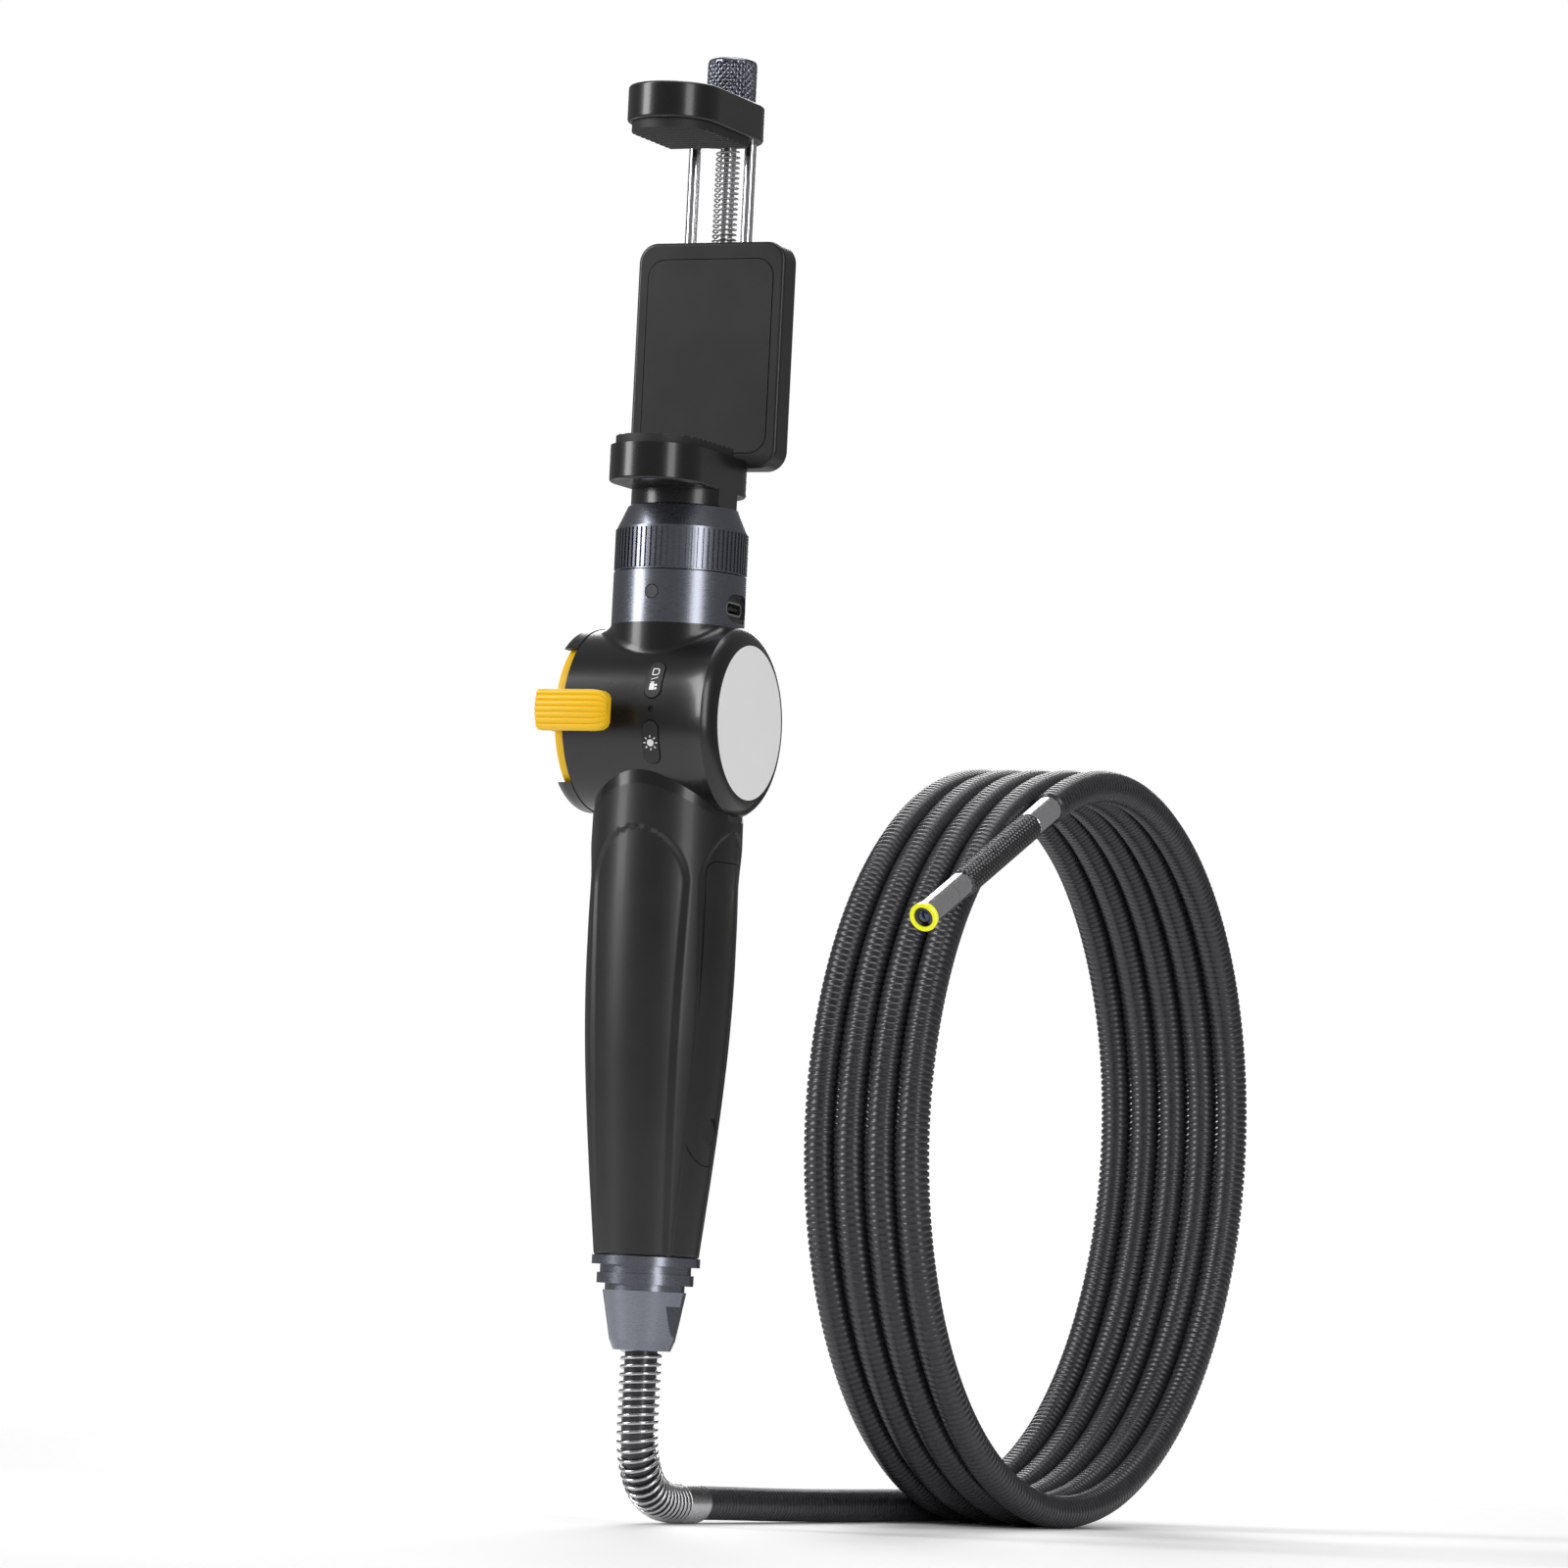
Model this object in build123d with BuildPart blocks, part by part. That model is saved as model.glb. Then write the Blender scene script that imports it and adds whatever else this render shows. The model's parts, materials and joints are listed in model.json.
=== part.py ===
from build123d import *
import math
import os

os.makedirs("parts", exist_ok=True)

# Articulating inspection camera, held upright by its grip. All sizes in millimetres.
# Origin: the middle of the grip, on its axis. +Z up, -Y the front with the buttons,
# +X the side with the round label. The hose leaves the bottom of the handle.

# ---------------------------------------------------------------- clearances
RUNNING = 0.05          # radial clearance of a shaft or pin that turns or slides
LOOSE = 0.3             # clearance between pieces that move past each other
PARTING = 0.2           # gap round a button, a door or a pad

# ---------------------------------------------------------------- grip
GRIP_BOTTOM = -51.7
GRIP_WALL = 2.2
GRIP_TOP_R = 18.3
GRIP_BELLY_R = 18.8
GRIP_LOWER_R = 16.5
GRIP_END_R = 13.4
GRIP_SPIGOT_R = 14.0
SCOOP_DEPTH = 0.7
SCOOP_TOP = 53.0
SCOOP_TOP_HALF = 13.2
SCOOP_BOTTOM_HALF = 10.4
SIDE_SCOOP_TOP_HALF = 11.8
SIDE_SCOOP_BOTTOM_HALF = 8.6

# ---------------------------------------------------------------- head barrel, axis along X
HEAD_Z = 80.0
HEAD_R = 22.6
HEAD_RIM_R = HEAD_R + 0.6
SKIRT = 2.2
NECK_BLEND = 3.0
SEAM_BAND = 0.5
HEAD_WALL = 2.4
HEAD_LEFT = -19.5
HEAD_RIGHT = 17.9
FLARE_X = 8.0
END_WALL = 3.0
HOLE_R = GRIP_SPIGOT_R + RUNNING
CAP_THICK = 2.8
LABEL_R = 19.0
LABEL_THICK = 0.4

# ---------------------------------------------------------------- lever on the left end
COVER_R = HEAD_R + 0.2
COVER_WALL = 1.1
COVER_LEFT = -24.5
LEVER_LEFT = -22.2
LEVER_THICK = 2.4
LEVER_DISC_R = COVER_R - COVER_WALL - LOOSE
WINDOW_HALF = 16.5
WINDOW_INNER_Y = -7.0
PADDLE_RIGHT = -3.2
PADDLE_FRONT = -33.0
PADDLE_THICK = 4.4
PADDLE_HALF = 5.0
SHAFT_R = 2.5
SHAFT_RIGHT = -3.0
BUSH_R = SHAFT_R + 2.0
BUSH_LENGTH = 6.5
PULLEY_R = 6.0
PULLEY_FLANGE_R = 7.5
PULLEY_X = -9.0
PULLEY_WIDTH = 7.0
WIRE_R = 0.35
WIRE_Y = PULLEY_R + WIRE_R + RUNNING
WIRE_BOTTOM = -36.0

# ---------------------------------------------------------------- buttons on the head
BUTTON_X = 4.3
BUTTON_WIDTH = 4.2
PHOTO_BUTTON_LENGTH = 9.6
LIGHT_BUTTON_LENGTH = 10.6
PHOTO_BUTTON_ANGLE = 22.0
LIGHT_BUTTON_ANGLE = -18.0
INDICATOR_ANGLE = 3.2
INDICATOR_R = 0.7
BUTTON_PROUD = 0.3
FLANGE_EXTRA = 0.8

# ---------------------------------------------------------------- collar, lock ring, clamp stem
COLLAR_R = 16.45
COLLAR_BOTTOM = HEAD_Z + HEAD_R + 0.6
COLLAR_TOP = 116.2
COLLAR_BORE_R = 12.8
COLLAR_PLATE = 113.6
COLLAR_NECK_R = 13.0
COLLAR_NECK_TOP = 124.0
STEM_R = 9.0
STEM_BOTTOM = 111.6
SNAP_R = STEM_R - 0.6
SNAP_OUTER_R = STEM_R + 1.8
SNAP_Z = 112.45
SNAP_THICK = 0.9
RING_TOP = 132.7
RING_KNURL_TOP = 127.3
RING_TOP_R = 13.7
RING_FLUTES = 72
POWER_Z = 110.7
POWER_R = 1.6
USB_Z = 108.0
USB_LENGTH = 8.9
USB_HEIGHT = 3.3
USB_WALL = 0.35
USB_DEPTH = 5.4
USB_RECESS = 1.5
USB_BEZEL = 0.8
USB_RECESS_LENGTH = 11.2
USB_RECESS_HEIGHT = 6.9

# ---------------------------------------------------------------- phone clamp
JAW_HALF = 11.9
JAW_FRONT_Y = -16.0
JAW_REAR_Y = 8.1
JAW_THICK = 9.1
LOWER_JAW_Z = 137.0
NECK_R = 13.1
PHONE_GAP = 75.4
PAD_THICK = 2.3
PAD_INSET = 1.2
PAD_REAR_Y = 4.5
PAD_RIB_PITCH = 2.8
PAD_RIB_DEPTH = 0.6
PLATE_HALF = 20.0
PLATE_FRONT_Y = 9.0
PLATE_THICK = 7.0
PLATE_BOTTOM = 144.1
PLATE_HEIGHT = 56.9
PLATE_CORNER = 5.0
BACK_PAD_HALF = 17.0
BACK_PAD_BOTTOM = 148.1
BACK_PAD_HEIGHT = 48.5
BACK_PAD_THICK = 1.2
BOSS_HALF = 6.5
BOSS_DEPTH = 5.5
ROD_R = 1.5
ROD_X = 7.6
ROD_Y = 12.6
ROD_BOTTOM = 168.0
SCREW_R = 2.0
SCREW_Y = 16.0
SCREW_BOTTOM = 163.0
NUT_R = 3.6
NUT_DROP = 13.0
NUT_LENGTH = 7.0
SPRING_R = 2.85
SPRING_WIRE_R = 0.25
SPRING_PITCH = 1.3
KNOB_R = 6.2
KNOB_HEIGHT = 12.5

# ---------------------------------------------------------------- battery and board
CELL_R = 9.1
CELL_LENGTH = 65.0
CELL_X = 3.5
CELL_BOTTOM = -25.0
CRADLE_WALL = 1.2
CONTACT_THICK = 0.8
DOOR_HALF = 9.3
DOOR_TOP = 45.2
DOOR_BOTTOM = -29.0
DOOR_THICK = 1.4
DOOR_CORNER = 3.0
NOTCH_R = 3.3
NOTCH_Z = -20.5
NOTCH_DEPTH = 0.5
BOARD_THICK = 1.2
BOARD_Y = -13.4
BOARD_LEFT = -1.5
BOARD_RIGHT = 12.5
BOARD_HALF_HEIGHT = 10.0

# ---------------------------------------------------------------- gland, spring and hose
HOSE_R = 4.3
END_RING_R = 13.3
END_RING_THICK = 2.2
GROOVE_DEPTH = 2.0
NUT_FLANGE_R = 11.9
NUT_FLANGE_THICK = 2.6
GLAND_NECK_R = 10.3
GLAND_END_R = 8.1
GLAND_BOTTOM = -74.6
GLAND_SEAT = 3.0
GUARD_R = 5.15
GUARD_CLEAR = 0.15
FLOOR_Z = -117.0
FERRULE_START = 24.0
FERRULE_LENGTH = 11.6
COIL_YAW = 3.17
COIL_R = 96.3
COIL_PITCH = 8.7
COIL_START = (8.2, 178.4)
COIL_END_ANGLE = 115.0
COIL_END_DRIFT = 1.0

# ---------------------------------------------------------------- articulating tip
TIP_FERRULE_R = 3.65
TIP_FERRULE_LENGTH = 14.0
BEND_LENGTH = 42.0
BEND_JOINTS = 5
BEND_ANGLE = 30.0
BRAID_R = 3.75
BRAID_BORE_R = 3.2
VERTEBRA_R = 3.15
VERTEBRA_BORE_R = 2.3
HEAD_SLEEVE_LENGTH = 8.5
CAMERA_R = 3.3
CAMERA_LENGTH = 14.0
LIGHT_RING_R = 3.8
LIGHT_RING_BORE_R = 2.5
LIGHT_RING_LENGTH = 1.5

# ---------------------------------------------------------------- places worked out from the above
HEAD_AXIS = Axis((0, 0, HEAD_Z), (1, 0, 0))
HEAD_PROFILE = Plane(origin=(0, 0, HEAD_Z), x_dir=(1, 0, 0), z_dir=(0, -1, 0))
LOWER_JAW_TOP = LOWER_JAW_Z + JAW_THICK
LOWER_PAD_TOP = LOWER_JAW_TOP + PAD_THICK
UPPER_PAD_Z = LOWER_PAD_TOP + PHONE_GAP
UPPER_JAW_Z = UPPER_PAD_Z + PAD_THICK
UPPER_JAW_TOP = UPPER_JAW_Z + JAW_THICK
PLATE_TOP = PLATE_BOTTOM + PLATE_HEIGHT
NUT_Z = PLATE_TOP - NUT_DROP
SEAT_Z = GLAND_BOTTOM + GLAND_SEAT
GUARD_Z = FLOOR_Z + GUARD_R
HOSE_FLOOR_Z = FLOOR_Z + HOSE_R


def save(piece, name):
    piece.part.label = name
    export_step(piece.part, f"parts/{name}.step")


def grip_solid(inset):
    """A solid of revolution inside the grip's surface, inset below it."""
    with BuildPart() as solid:
        with BuildSketch(Plane.XZ):
            with BuildLine():
                Spline(
                    (GRIP_END_R - inset, GRIP_BOTTOM),
                    (GRIP_LOWER_R - inset, GRIP_BOTTOM + 31.5),
                    (GRIP_BELLY_R - inset, 24.0),
                    (GRIP_TOP_R - inset, HEAD_Z - 15.0),
                    tangents=[(0.1, 1.0), (0.0, 1.0)],
                )
                Line((GRIP_TOP_R - inset, HEAD_Z - 15.0), (0, HEAD_Z - 15.0))
                Line((0, HEAD_Z - 15.0), (0, GRIP_BOTTOM))
                Line((0, GRIP_BOTTOM), (GRIP_END_R - inset, GRIP_BOTTOM))
            make_face()
        revolve(axis=Axis.Z)
    return solid.part


def head_form():
    """The round barrel of the head, flared towards the label side."""
    with BuildPart() as form:
        with BuildSketch(HEAD_PROFILE):
            with BuildLine():
                Line((HEAD_LEFT, 0), (HEAD_LEFT, HEAD_R))
                Line((HEAD_LEFT, HEAD_R), (FLARE_X, HEAD_R))
                Spline(
                    (FLARE_X, HEAD_R),
                    (HEAD_RIGHT, HEAD_RIM_R),
                    tangents=[(1, 0), (1, 0.25)],
                )
                Line((HEAD_RIGHT, HEAD_RIM_R), (HEAD_RIGHT, 0))
                Line((HEAD_RIGHT, 0), (HEAD_LEFT, 0))
            make_face()
        revolve(axis=HEAD_AXIS)
    return form.part


def head_cylinder(radius, left, right):
    """A plain round bar on the head's axis."""
    with BuildPart() as bar:
        with BuildSketch(Plane.YZ.offset(left)):
            with Locations((0, HEAD_Z)):
                Circle(radius)
        extrude(amount=right - left)
    return bar.part


def grip_skirt():
    """The short skirt of the head that meets the top of the grip."""
    with BuildPart() as skirt:
        with BuildSketch(Plane.XY.offset(HEAD_Z - 2 * HEAD_R)):
            Circle(GRIP_TOP_R)
        extrude(amount=2 * HEAD_R - 5.0)
        add(head_cylinder(HEAD_R + SKIRT, HEAD_LEFT, HEAD_RIGHT), mode=Mode.INTERSECT)
    return skirt.part


def scoop_prism(turn, top_half, bottom_half):
    """The outline of one scooped face of the grip, pushed out through the surface."""
    face_plane = Plane(origin=(0, 0, 0), x_dir=(1, 0, 0), z_dir=(0, -1, 0)).rotated((0, turn, 0))
    with BuildPart() as prism:
        with BuildSketch(face_plane):
            with BuildLine():
                Polyline(
                    (-bottom_half, GRIP_BOTTOM - 1.0),
                    (bottom_half, GRIP_BOTTOM - 1.0),
                    (top_half, SCOOP_TOP - 12.0),
                    (top_half * 0.45, SCOOP_TOP),
                    (-top_half * 0.45, SCOOP_TOP),
                    (-top_half, SCOOP_TOP - 12.0),
                    close=True,
                )
            make_face()
            fillet(vertices().group_by(Axis.Y)[-1] + vertices().group_by(Axis.Y)[-2], radius=5.0)
        extrude(amount=2 * GRIP_BELLY_R)
    return prism.part


def jaw_outline(inset=0.0):
    """The clamp jaw seen from above: a long rounded bar, for use inside a sketch."""
    with Locations((0, (JAW_FRONT_Y + JAW_REAR_Y) / 2)):
        SlotCenterToCenter(JAW_REAR_Y - JAW_FRONT_Y, 2 * (JAW_HALF - inset), rotation=90)


# ================================================================ grip
front_scoop = scoop_prism(0, SCOOP_TOP_HALF, SCOOP_BOTTOM_HALF)
back_scoop = scoop_prism(180, SCOOP_TOP_HALF, SCOOP_BOTTOM_HALF)
right_scoop = scoop_prism(90, SIDE_SCOOP_TOP_HALF, SIDE_SCOOP_BOTTOM_HALF)
left_scoop = scoop_prism(-90, SIDE_SCOOP_TOP_HALF, SIDE_SCOOP_BOTTOM_HALF)
outer_skin = grip_solid(0.0)
scooped_skin = grip_solid(SCOOP_DEPTH)
door_outer = grip_solid(SCOOP_DEPTH)
door_inner = grip_solid(SCOOP_DEPTH + DOOR_THICK)
inner_skin = grip_solid(GRIP_WALL + SCOOP_DEPTH)


def door_prism(clearance):
    """The battery door's outline, square at the top and round at the bottom, along +X."""
    half = DOOR_HALF + clearance
    with BuildPart() as prism:
        with BuildSketch(Plane.YZ):
            with Locations((0, (DOOR_TOP + DOOR_BOTTOM + DOOR_HALF) / 2)):
                Rectangle(2 * half, DOOR_TOP - DOOR_BOTTOM - DOOR_HALF + 2 * clearance)
            with Locations((0, DOOR_BOTTOM + DOOR_HALF)):
                Circle(half)
            fillet(vertices().group_by(Axis.Y)[-1], radius=DOOR_CORNER)
        extrude(amount=2 * GRIP_BELLY_R)
    return prism.part


with BuildPart() as grip_body:
    add(outer_skin)
    for scoop in (front_scoop, back_scoop, right_scoop, left_scoop):
        add(scoop - scooped_skin, mode=Mode.SUBTRACT)
    # the saddle that the round head sits down into
    add(head_cylinder(HEAD_R + SKIRT + RUNNING, -2 * HEAD_R, 2 * HEAD_R), mode=Mode.SUBTRACT)
    with BuildSketch(Plane.XY.offset(HEAD_Z - 40.0)):
        Circle(GRIP_SPIGOT_R)
    extrude(amount=24.0)
    # hollow inside, open at the top through the spigot and at the bottom for the end ring
    add(inner_skin, mode=Mode.SUBTRACT)
    with BuildSketch(Plane.XY.offset(HEAD_Z - 42.0)):
        Circle(GRIP_SPIGOT_R - GRIP_WALL)
    extrude(amount=40.0, mode=Mode.SUBTRACT)
    add(door_prism(PARTING), mode=Mode.SUBTRACT)

with BuildPart() as battery_door:
    add(door_prism(0.0) & door_outer)
    add(door_inner, mode=Mode.SUBTRACT)
    with BuildSketch(Plane.YZ.offset(grip_solid(0.0).bounding_box().max.X)):
        with Locations((0, NOTCH_Z)):
            Circle(NOTCH_R)
    extrude(amount=-(GRIP_BELLY_R - GRIP_LOWER_R + SCOOP_DEPTH + NOTCH_DEPTH), mode=Mode.SUBTRACT)

# ================================================================ battery in its cradle
with BuildPart() as battery_cell:
    with BuildSketch(Plane.XY.offset(CELL_BOTTOM)):
        with Locations((CELL_X, 0)):
            Circle(CELL_R)
    extrude(amount=CELL_LENGTH)
    chamfer(battery_cell.edges().filter_by(GeomType.CIRCLE), length=0.6)

with BuildPart() as battery_cradle:
    cradle_bottom = CELL_BOTTOM - CONTACT_THICK - CRADLE_WALL
    with BuildSketch(Plane.XY.offset(cradle_bottom)):
        with Locations((CELL_X, 0)):
            Circle(CELL_R + PARTING + CRADLE_WALL)
        with Locations((CELL_X + CELL_R, 0)):
            Rectangle(2 * CELL_R - 2.0, 4 * CELL_R, mode=Mode.SUBTRACT)
    extrude(amount=CELL_LENGTH + 2 * (CONTACT_THICK + CRADLE_WALL))
    with BuildSketch(Plane.XY.offset(CELL_BOTTOM - CONTACT_THICK)):
        with Locations((CELL_X, 0)):
            Circle(CELL_R + PARTING)
    extrude(amount=CELL_LENGTH + 2 * CONTACT_THICK, mode=Mode.SUBTRACT)

with BuildPart() as battery_contacts:
    for contact_z in (CELL_BOTTOM - CONTACT_THICK, CELL_BOTTOM + CELL_LENGTH):
        with BuildSketch(Plane.XY.offset(contact_z)):
            with Locations((CELL_X - 3.0, 0)):
                Circle(3.5)
        extrude(amount=CONTACT_THICK)

# ================================================================ head barrel
with BuildPart() as head_housing:
    add(head_form())
    with BuildSketch(Plane.XY.offset(HEAD_Z)):
        Circle(COLLAR_R)
    extrude(amount=COLLAR_BOTTOM - HEAD_Z)
    seams = edges().filter_by(lambda seam: HEAD_Z < seam.center().Z < COLLAR_BOTTOM - SEAM_BAND)
    neck_seams = seams.filter_by(lambda seam: seam.bounding_box().size.Y > COLLAR_R / 2)
    neck_seams = neck_seams.filter_by(lambda seam: seam.bounding_box().max.X < HEAD_RIGHT - SEAM_BAND)
    neck_seams = neck_seams.filter_by(lambda seam: seam.bounding_box().min.X > HEAD_LEFT + SEAM_BAND)
    fillet(neck_seams, radius=NECK_BLEND)
    add(grip_skirt())
    with BuildSketch(Plane.YZ.offset(HEAD_LEFT + END_WALL)):
        with Locations((0, HEAD_Z)):
            Circle(HEAD_R - HEAD_WALL)
    extrude(amount=HEAD_RIGHT - HEAD_LEFT, mode=Mode.SUBTRACT)
    # boss and bore that hold the lever shaft's bush
    with BuildSketch(Plane.YZ.offset(HEAD_LEFT + END_WALL)):
        with Locations((0, HEAD_Z)):
            Circle(BUSH_R + 2.0)
    extrude(amount=BUSH_LENGTH - END_WALL)
    with BuildSketch(Plane.YZ.offset(HEAD_LEFT)):
        with Locations((0, HEAD_Z)):
            Circle(BUSH_R)
    extrude(amount=BUSH_LENGTH, mode=Mode.SUBTRACT)
    # round holes for the collar above and the grip below
    with BuildSketch(Plane.XY.offset(HEAD_Z - 2 * HEAD_R)):
        Circle(HOLE_R)
    extrude(amount=2 * HEAD_R - 10.0, mode=Mode.SUBTRACT)
    with BuildSketch(Plane.XY.offset(HEAD_Z + 10.0)):
        Circle(HOLE_R)
    extrude(amount=2 * HEAD_R, mode=Mode.SUBTRACT)
    for angle, length in ((PHOTO_BUTTON_ANGLE, PHOTO_BUTTON_LENGTH), (LIGHT_BUTTON_ANGLE, LIGHT_BUTTON_LENGTH)):
        outward = (0, -math.cos(math.radians(angle)), math.sin(math.radians(angle)))
        with BuildSketch(Plane(origin=(BUTTON_X, 0, HEAD_Z), x_dir=(1, 0, 0), z_dir=outward)):
            SlotOverall(length + 2 * PARTING, BUTTON_WIDTH + 2 * PARTING, rotation=90)
        extrude(amount=2 * HEAD_R, mode=Mode.SUBTRACT)
    outward = (0, -math.cos(math.radians(INDICATOR_ANGLE)), math.sin(math.radians(INDICATOR_ANGLE)))
    with BuildSketch(Plane(origin=(BUTTON_X, 0, HEAD_Z), x_dir=(1, 0, 0), z_dir=outward)):
        Circle(INDICATOR_R)
    extrude(amount=2 * HEAD_R, mode=Mode.SUBTRACT)

with BuildPart() as side_cap:
    with BuildSketch(HEAD_PROFILE):
        with BuildLine():
            Line((HEAD_RIGHT, 0), (HEAD_RIGHT, HEAD_RIM_R))
            ThreePointArc(
                (HEAD_RIGHT, HEAD_RIM_R),
                (HEAD_RIGHT + CAP_THICK * 0.72, HEAD_RIM_R - 1.9),
                (HEAD_RIGHT + CAP_THICK, LABEL_R + 0.4),
            )
            Line((HEAD_RIGHT + CAP_THICK, LABEL_R + 0.4), (HEAD_RIGHT + CAP_THICK, 0))
            Line((HEAD_RIGHT + CAP_THICK, 0), (HEAD_RIGHT, 0))
        make_face()
    revolve(axis=HEAD_AXIS)
    with BuildSketch(Plane.YZ.offset(HEAD_RIGHT)):
        with Locations((0, HEAD_Z)):
            Circle(HEAD_R - HEAD_WALL - RUNNING)
            Circle(HEAD_R - HEAD_WALL - 1.8, mode=Mode.SUBTRACT)
    extrude(amount=-3.0)
    # the locating ring is cut away where the collar and the grip come in
    with BuildSketch(Plane.XY.offset(HEAD_Z - HEAD_R)):
        Circle(HOLE_R + LOOSE)
    extrude(amount=2 * HEAD_R, mode=Mode.SUBTRACT)
    with BuildSketch(Plane.YZ.offset(HEAD_RIGHT + CAP_THICK)):
        with Locations((0, HEAD_Z)):
            Circle(LABEL_R)
    extrude(amount=-LABEL_THICK, mode=Mode.SUBTRACT)

with BuildPart() as label_disc:
    with BuildSketch(Plane.YZ.offset(HEAD_RIGHT + CAP_THICK - LABEL_THICK)):
        with Locations((0, HEAD_Z)):
            Circle(LABEL_R)
    extrude(amount=LABEL_THICK)


def head_button(angle, length):
    """A long button that moves in towards the head's axis, with a flange that keeps it in."""
    outward = (0, -math.cos(math.radians(angle)), math.sin(math.radians(angle)))
    plane = Plane(origin=(BUTTON_X, 0, HEAD_Z), x_dir=(1, 0, 0), z_dir=outward)
    flange_top = HEAD_R - HEAD_WALL - 1.5
    with BuildPart() as button:
        with BuildSketch(plane.offset(flange_top)):
            SlotOverall(length, BUTTON_WIDTH, rotation=90)
        extrude(amount=HEAD_R)
        with BuildSketch(Plane.YZ):
            with Locations((0, HEAD_Z)):
                Circle(HEAD_R + BUTTON_PROUD)
        extrude(amount=BUTTON_X + BUTTON_WIDTH, mode=Mode.INTERSECT)
        with BuildSketch(plane.offset(flange_top)):
            SlotOverall(length + 2 * FLANGE_EXTRA, BUTTON_WIDTH + 2 * FLANGE_EXTRA, rotation=90)
        extrude(amount=-0.8)
        with BuildSketch(plane.offset(flange_top - 0.8)):
            Circle(1.0)
        extrude(amount=-0.6)
    return button


photo_button = head_button(PHOTO_BUTTON_ANGLE, PHOTO_BUTTON_LENGTH)
light_button = head_button(LIGHT_BUTTON_ANGLE, LIGHT_BUTTON_LENGTH)

with BuildPart() as indicator_lens:
    with BuildSketch(Plane(origin=(BUTTON_X, 0, HEAD_Z), x_dir=(1, 0, 0), z_dir=outward).offset(HEAD_R - HEAD_WALL)):
        Circle(INDICATOR_R)
    extrude(amount=HEAD_WALL - 0.5)

with BuildPart() as main_board:
    with BuildSketch(Plane.XZ.offset(-BOARD_Y)):
        with Locations(((BOARD_LEFT + BOARD_RIGHT) / 2, HEAD_Z)):
            Rectangle(BOARD_RIGHT - BOARD_LEFT, 2 * BOARD_HALF_HEIGHT)
    extrude(amount=-BOARD_THICK)

# ================================================================ lever, shaft, pulley and pull wires
with BuildPart() as lever_cover:
    with BuildSketch(HEAD_PROFILE):
        with BuildLine():
            Line((HEAD_LEFT, 0), (HEAD_LEFT, COVER_R))
            Line((HEAD_LEFT, COVER_R), (COVER_LEFT + 3.0, COVER_R))
            RadiusArc((COVER_LEFT + 3.0, COVER_R), (COVER_LEFT, COVER_R - 3.0), -3.0)
            Line((COVER_LEFT, COVER_R - 3.0), (COVER_LEFT, 0))
            Line((COVER_LEFT, 0), (HEAD_LEFT, 0))
        make_face()
    revolve(axis=HEAD_AXIS)
    with BuildSketch(Plane.YZ.offset(HEAD_LEFT)):
        with Locations((0, HEAD_Z)):
            Circle(COVER_R - COVER_WALL)
    extrude(amount=LEVER_LEFT - LOOSE - HEAD_LEFT, mode=Mode.SUBTRACT)
    with BuildSketch(Plane.YZ.offset(HEAD_LEFT)):
        with Locations((WINDOW_INNER_Y - COVER_R, HEAD_Z)):
            Rectangle(2 * COVER_R, 2 * WINDOW_HALF)
    extrude(amount=COVER_LEFT - HEAD_LEFT, mode=Mode.SUBTRACT)

with BuildPart() as thumb_lever:
    with BuildSketch(Plane.YZ.offset(LEVER_LEFT)):
        with Locations((0, HEAD_Z)):
            Circle(LEVER_DISC_R)
            Circle(SHAFT_R, mode=Mode.SUBTRACT)
        with Locations(((PADDLE_FRONT - LEVER_DISC_R + 3.0) / 2, HEAD_Z)):
            Rectangle(-PADDLE_FRONT - LEVER_DISC_R + 3.0, 2 * PADDLE_HALF - 0.8)
    extrude(amount=LEVER_THICK)
    with BuildSketch(Plane.YZ.offset(LEVER_LEFT)):
        with BuildLine():
            Polyline(
                (PADDLE_FRONT + PADDLE_THICK, HEAD_Z - PADDLE_HALF),
                (PADDLE_FRONT + PADDLE_THICK, HEAD_Z + PADDLE_HALF),
                (PADDLE_FRONT + 2.2, HEAD_Z + PADDLE_HALF),
                (PADDLE_FRONT, HEAD_Z + 0.6),
                (PADDLE_FRONT + 1.6, HEAD_Z - PADDLE_HALF),
                close=True,
            )
        make_face()
        fillet(vertices(), radius=0.5)
    extrude(amount=PADDLE_RIGHT - LEVER_LEFT)

with BuildPart() as lever_shaft:
    with BuildSketch(Plane.YZ.offset(LEVER_LEFT)):
        with Locations((0, HEAD_Z)):
            Circle(SHAFT_R)
    extrude(amount=SHAFT_RIGHT - LEVER_LEFT)

with BuildPart() as shaft_bush:
    with BuildSketch(Plane.YZ.offset(HEAD_LEFT)):
        with Locations((0, HEAD_Z)):
            Circle(BUSH_R)
            Circle(SHAFT_R + RUNNING, mode=Mode.SUBTRACT)
    extrude(amount=BUSH_LENGTH)

with BuildPart() as wire_pulley:
    half = PULLEY_WIDTH / 2
    with BuildSketch(HEAD_PROFILE):
        with BuildLine():
            Polyline(
                (PULLEY_X - half, SHAFT_R),
                (PULLEY_X - half, PULLEY_FLANGE_R),
                (PULLEY_X - half + 0.8, PULLEY_FLANGE_R),
                (PULLEY_X - 1.2, PULLEY_R),
                (PULLEY_X + 1.2, PULLEY_R),
                (PULLEY_X + half - 0.8, PULLEY_FLANGE_R),
                (PULLEY_X + half, PULLEY_FLANGE_R),
                (PULLEY_X + half, SHAFT_R),
                close=True,
            )
        make_face()
    revolve(axis=HEAD_AXIS)


def pull_wire(y):
    """The straight stretch of one pull wire, from the pulley down through the grip."""
    with BuildPart() as wire:
        with BuildSketch(Plane.XY.offset(WIRE_BOTTOM)):
            with Locations((PULLEY_X, y)):
                Circle(WIRE_R)
        extrude(amount=HEAD_Z - WIRE_BOTTOM)
    return wire


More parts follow.
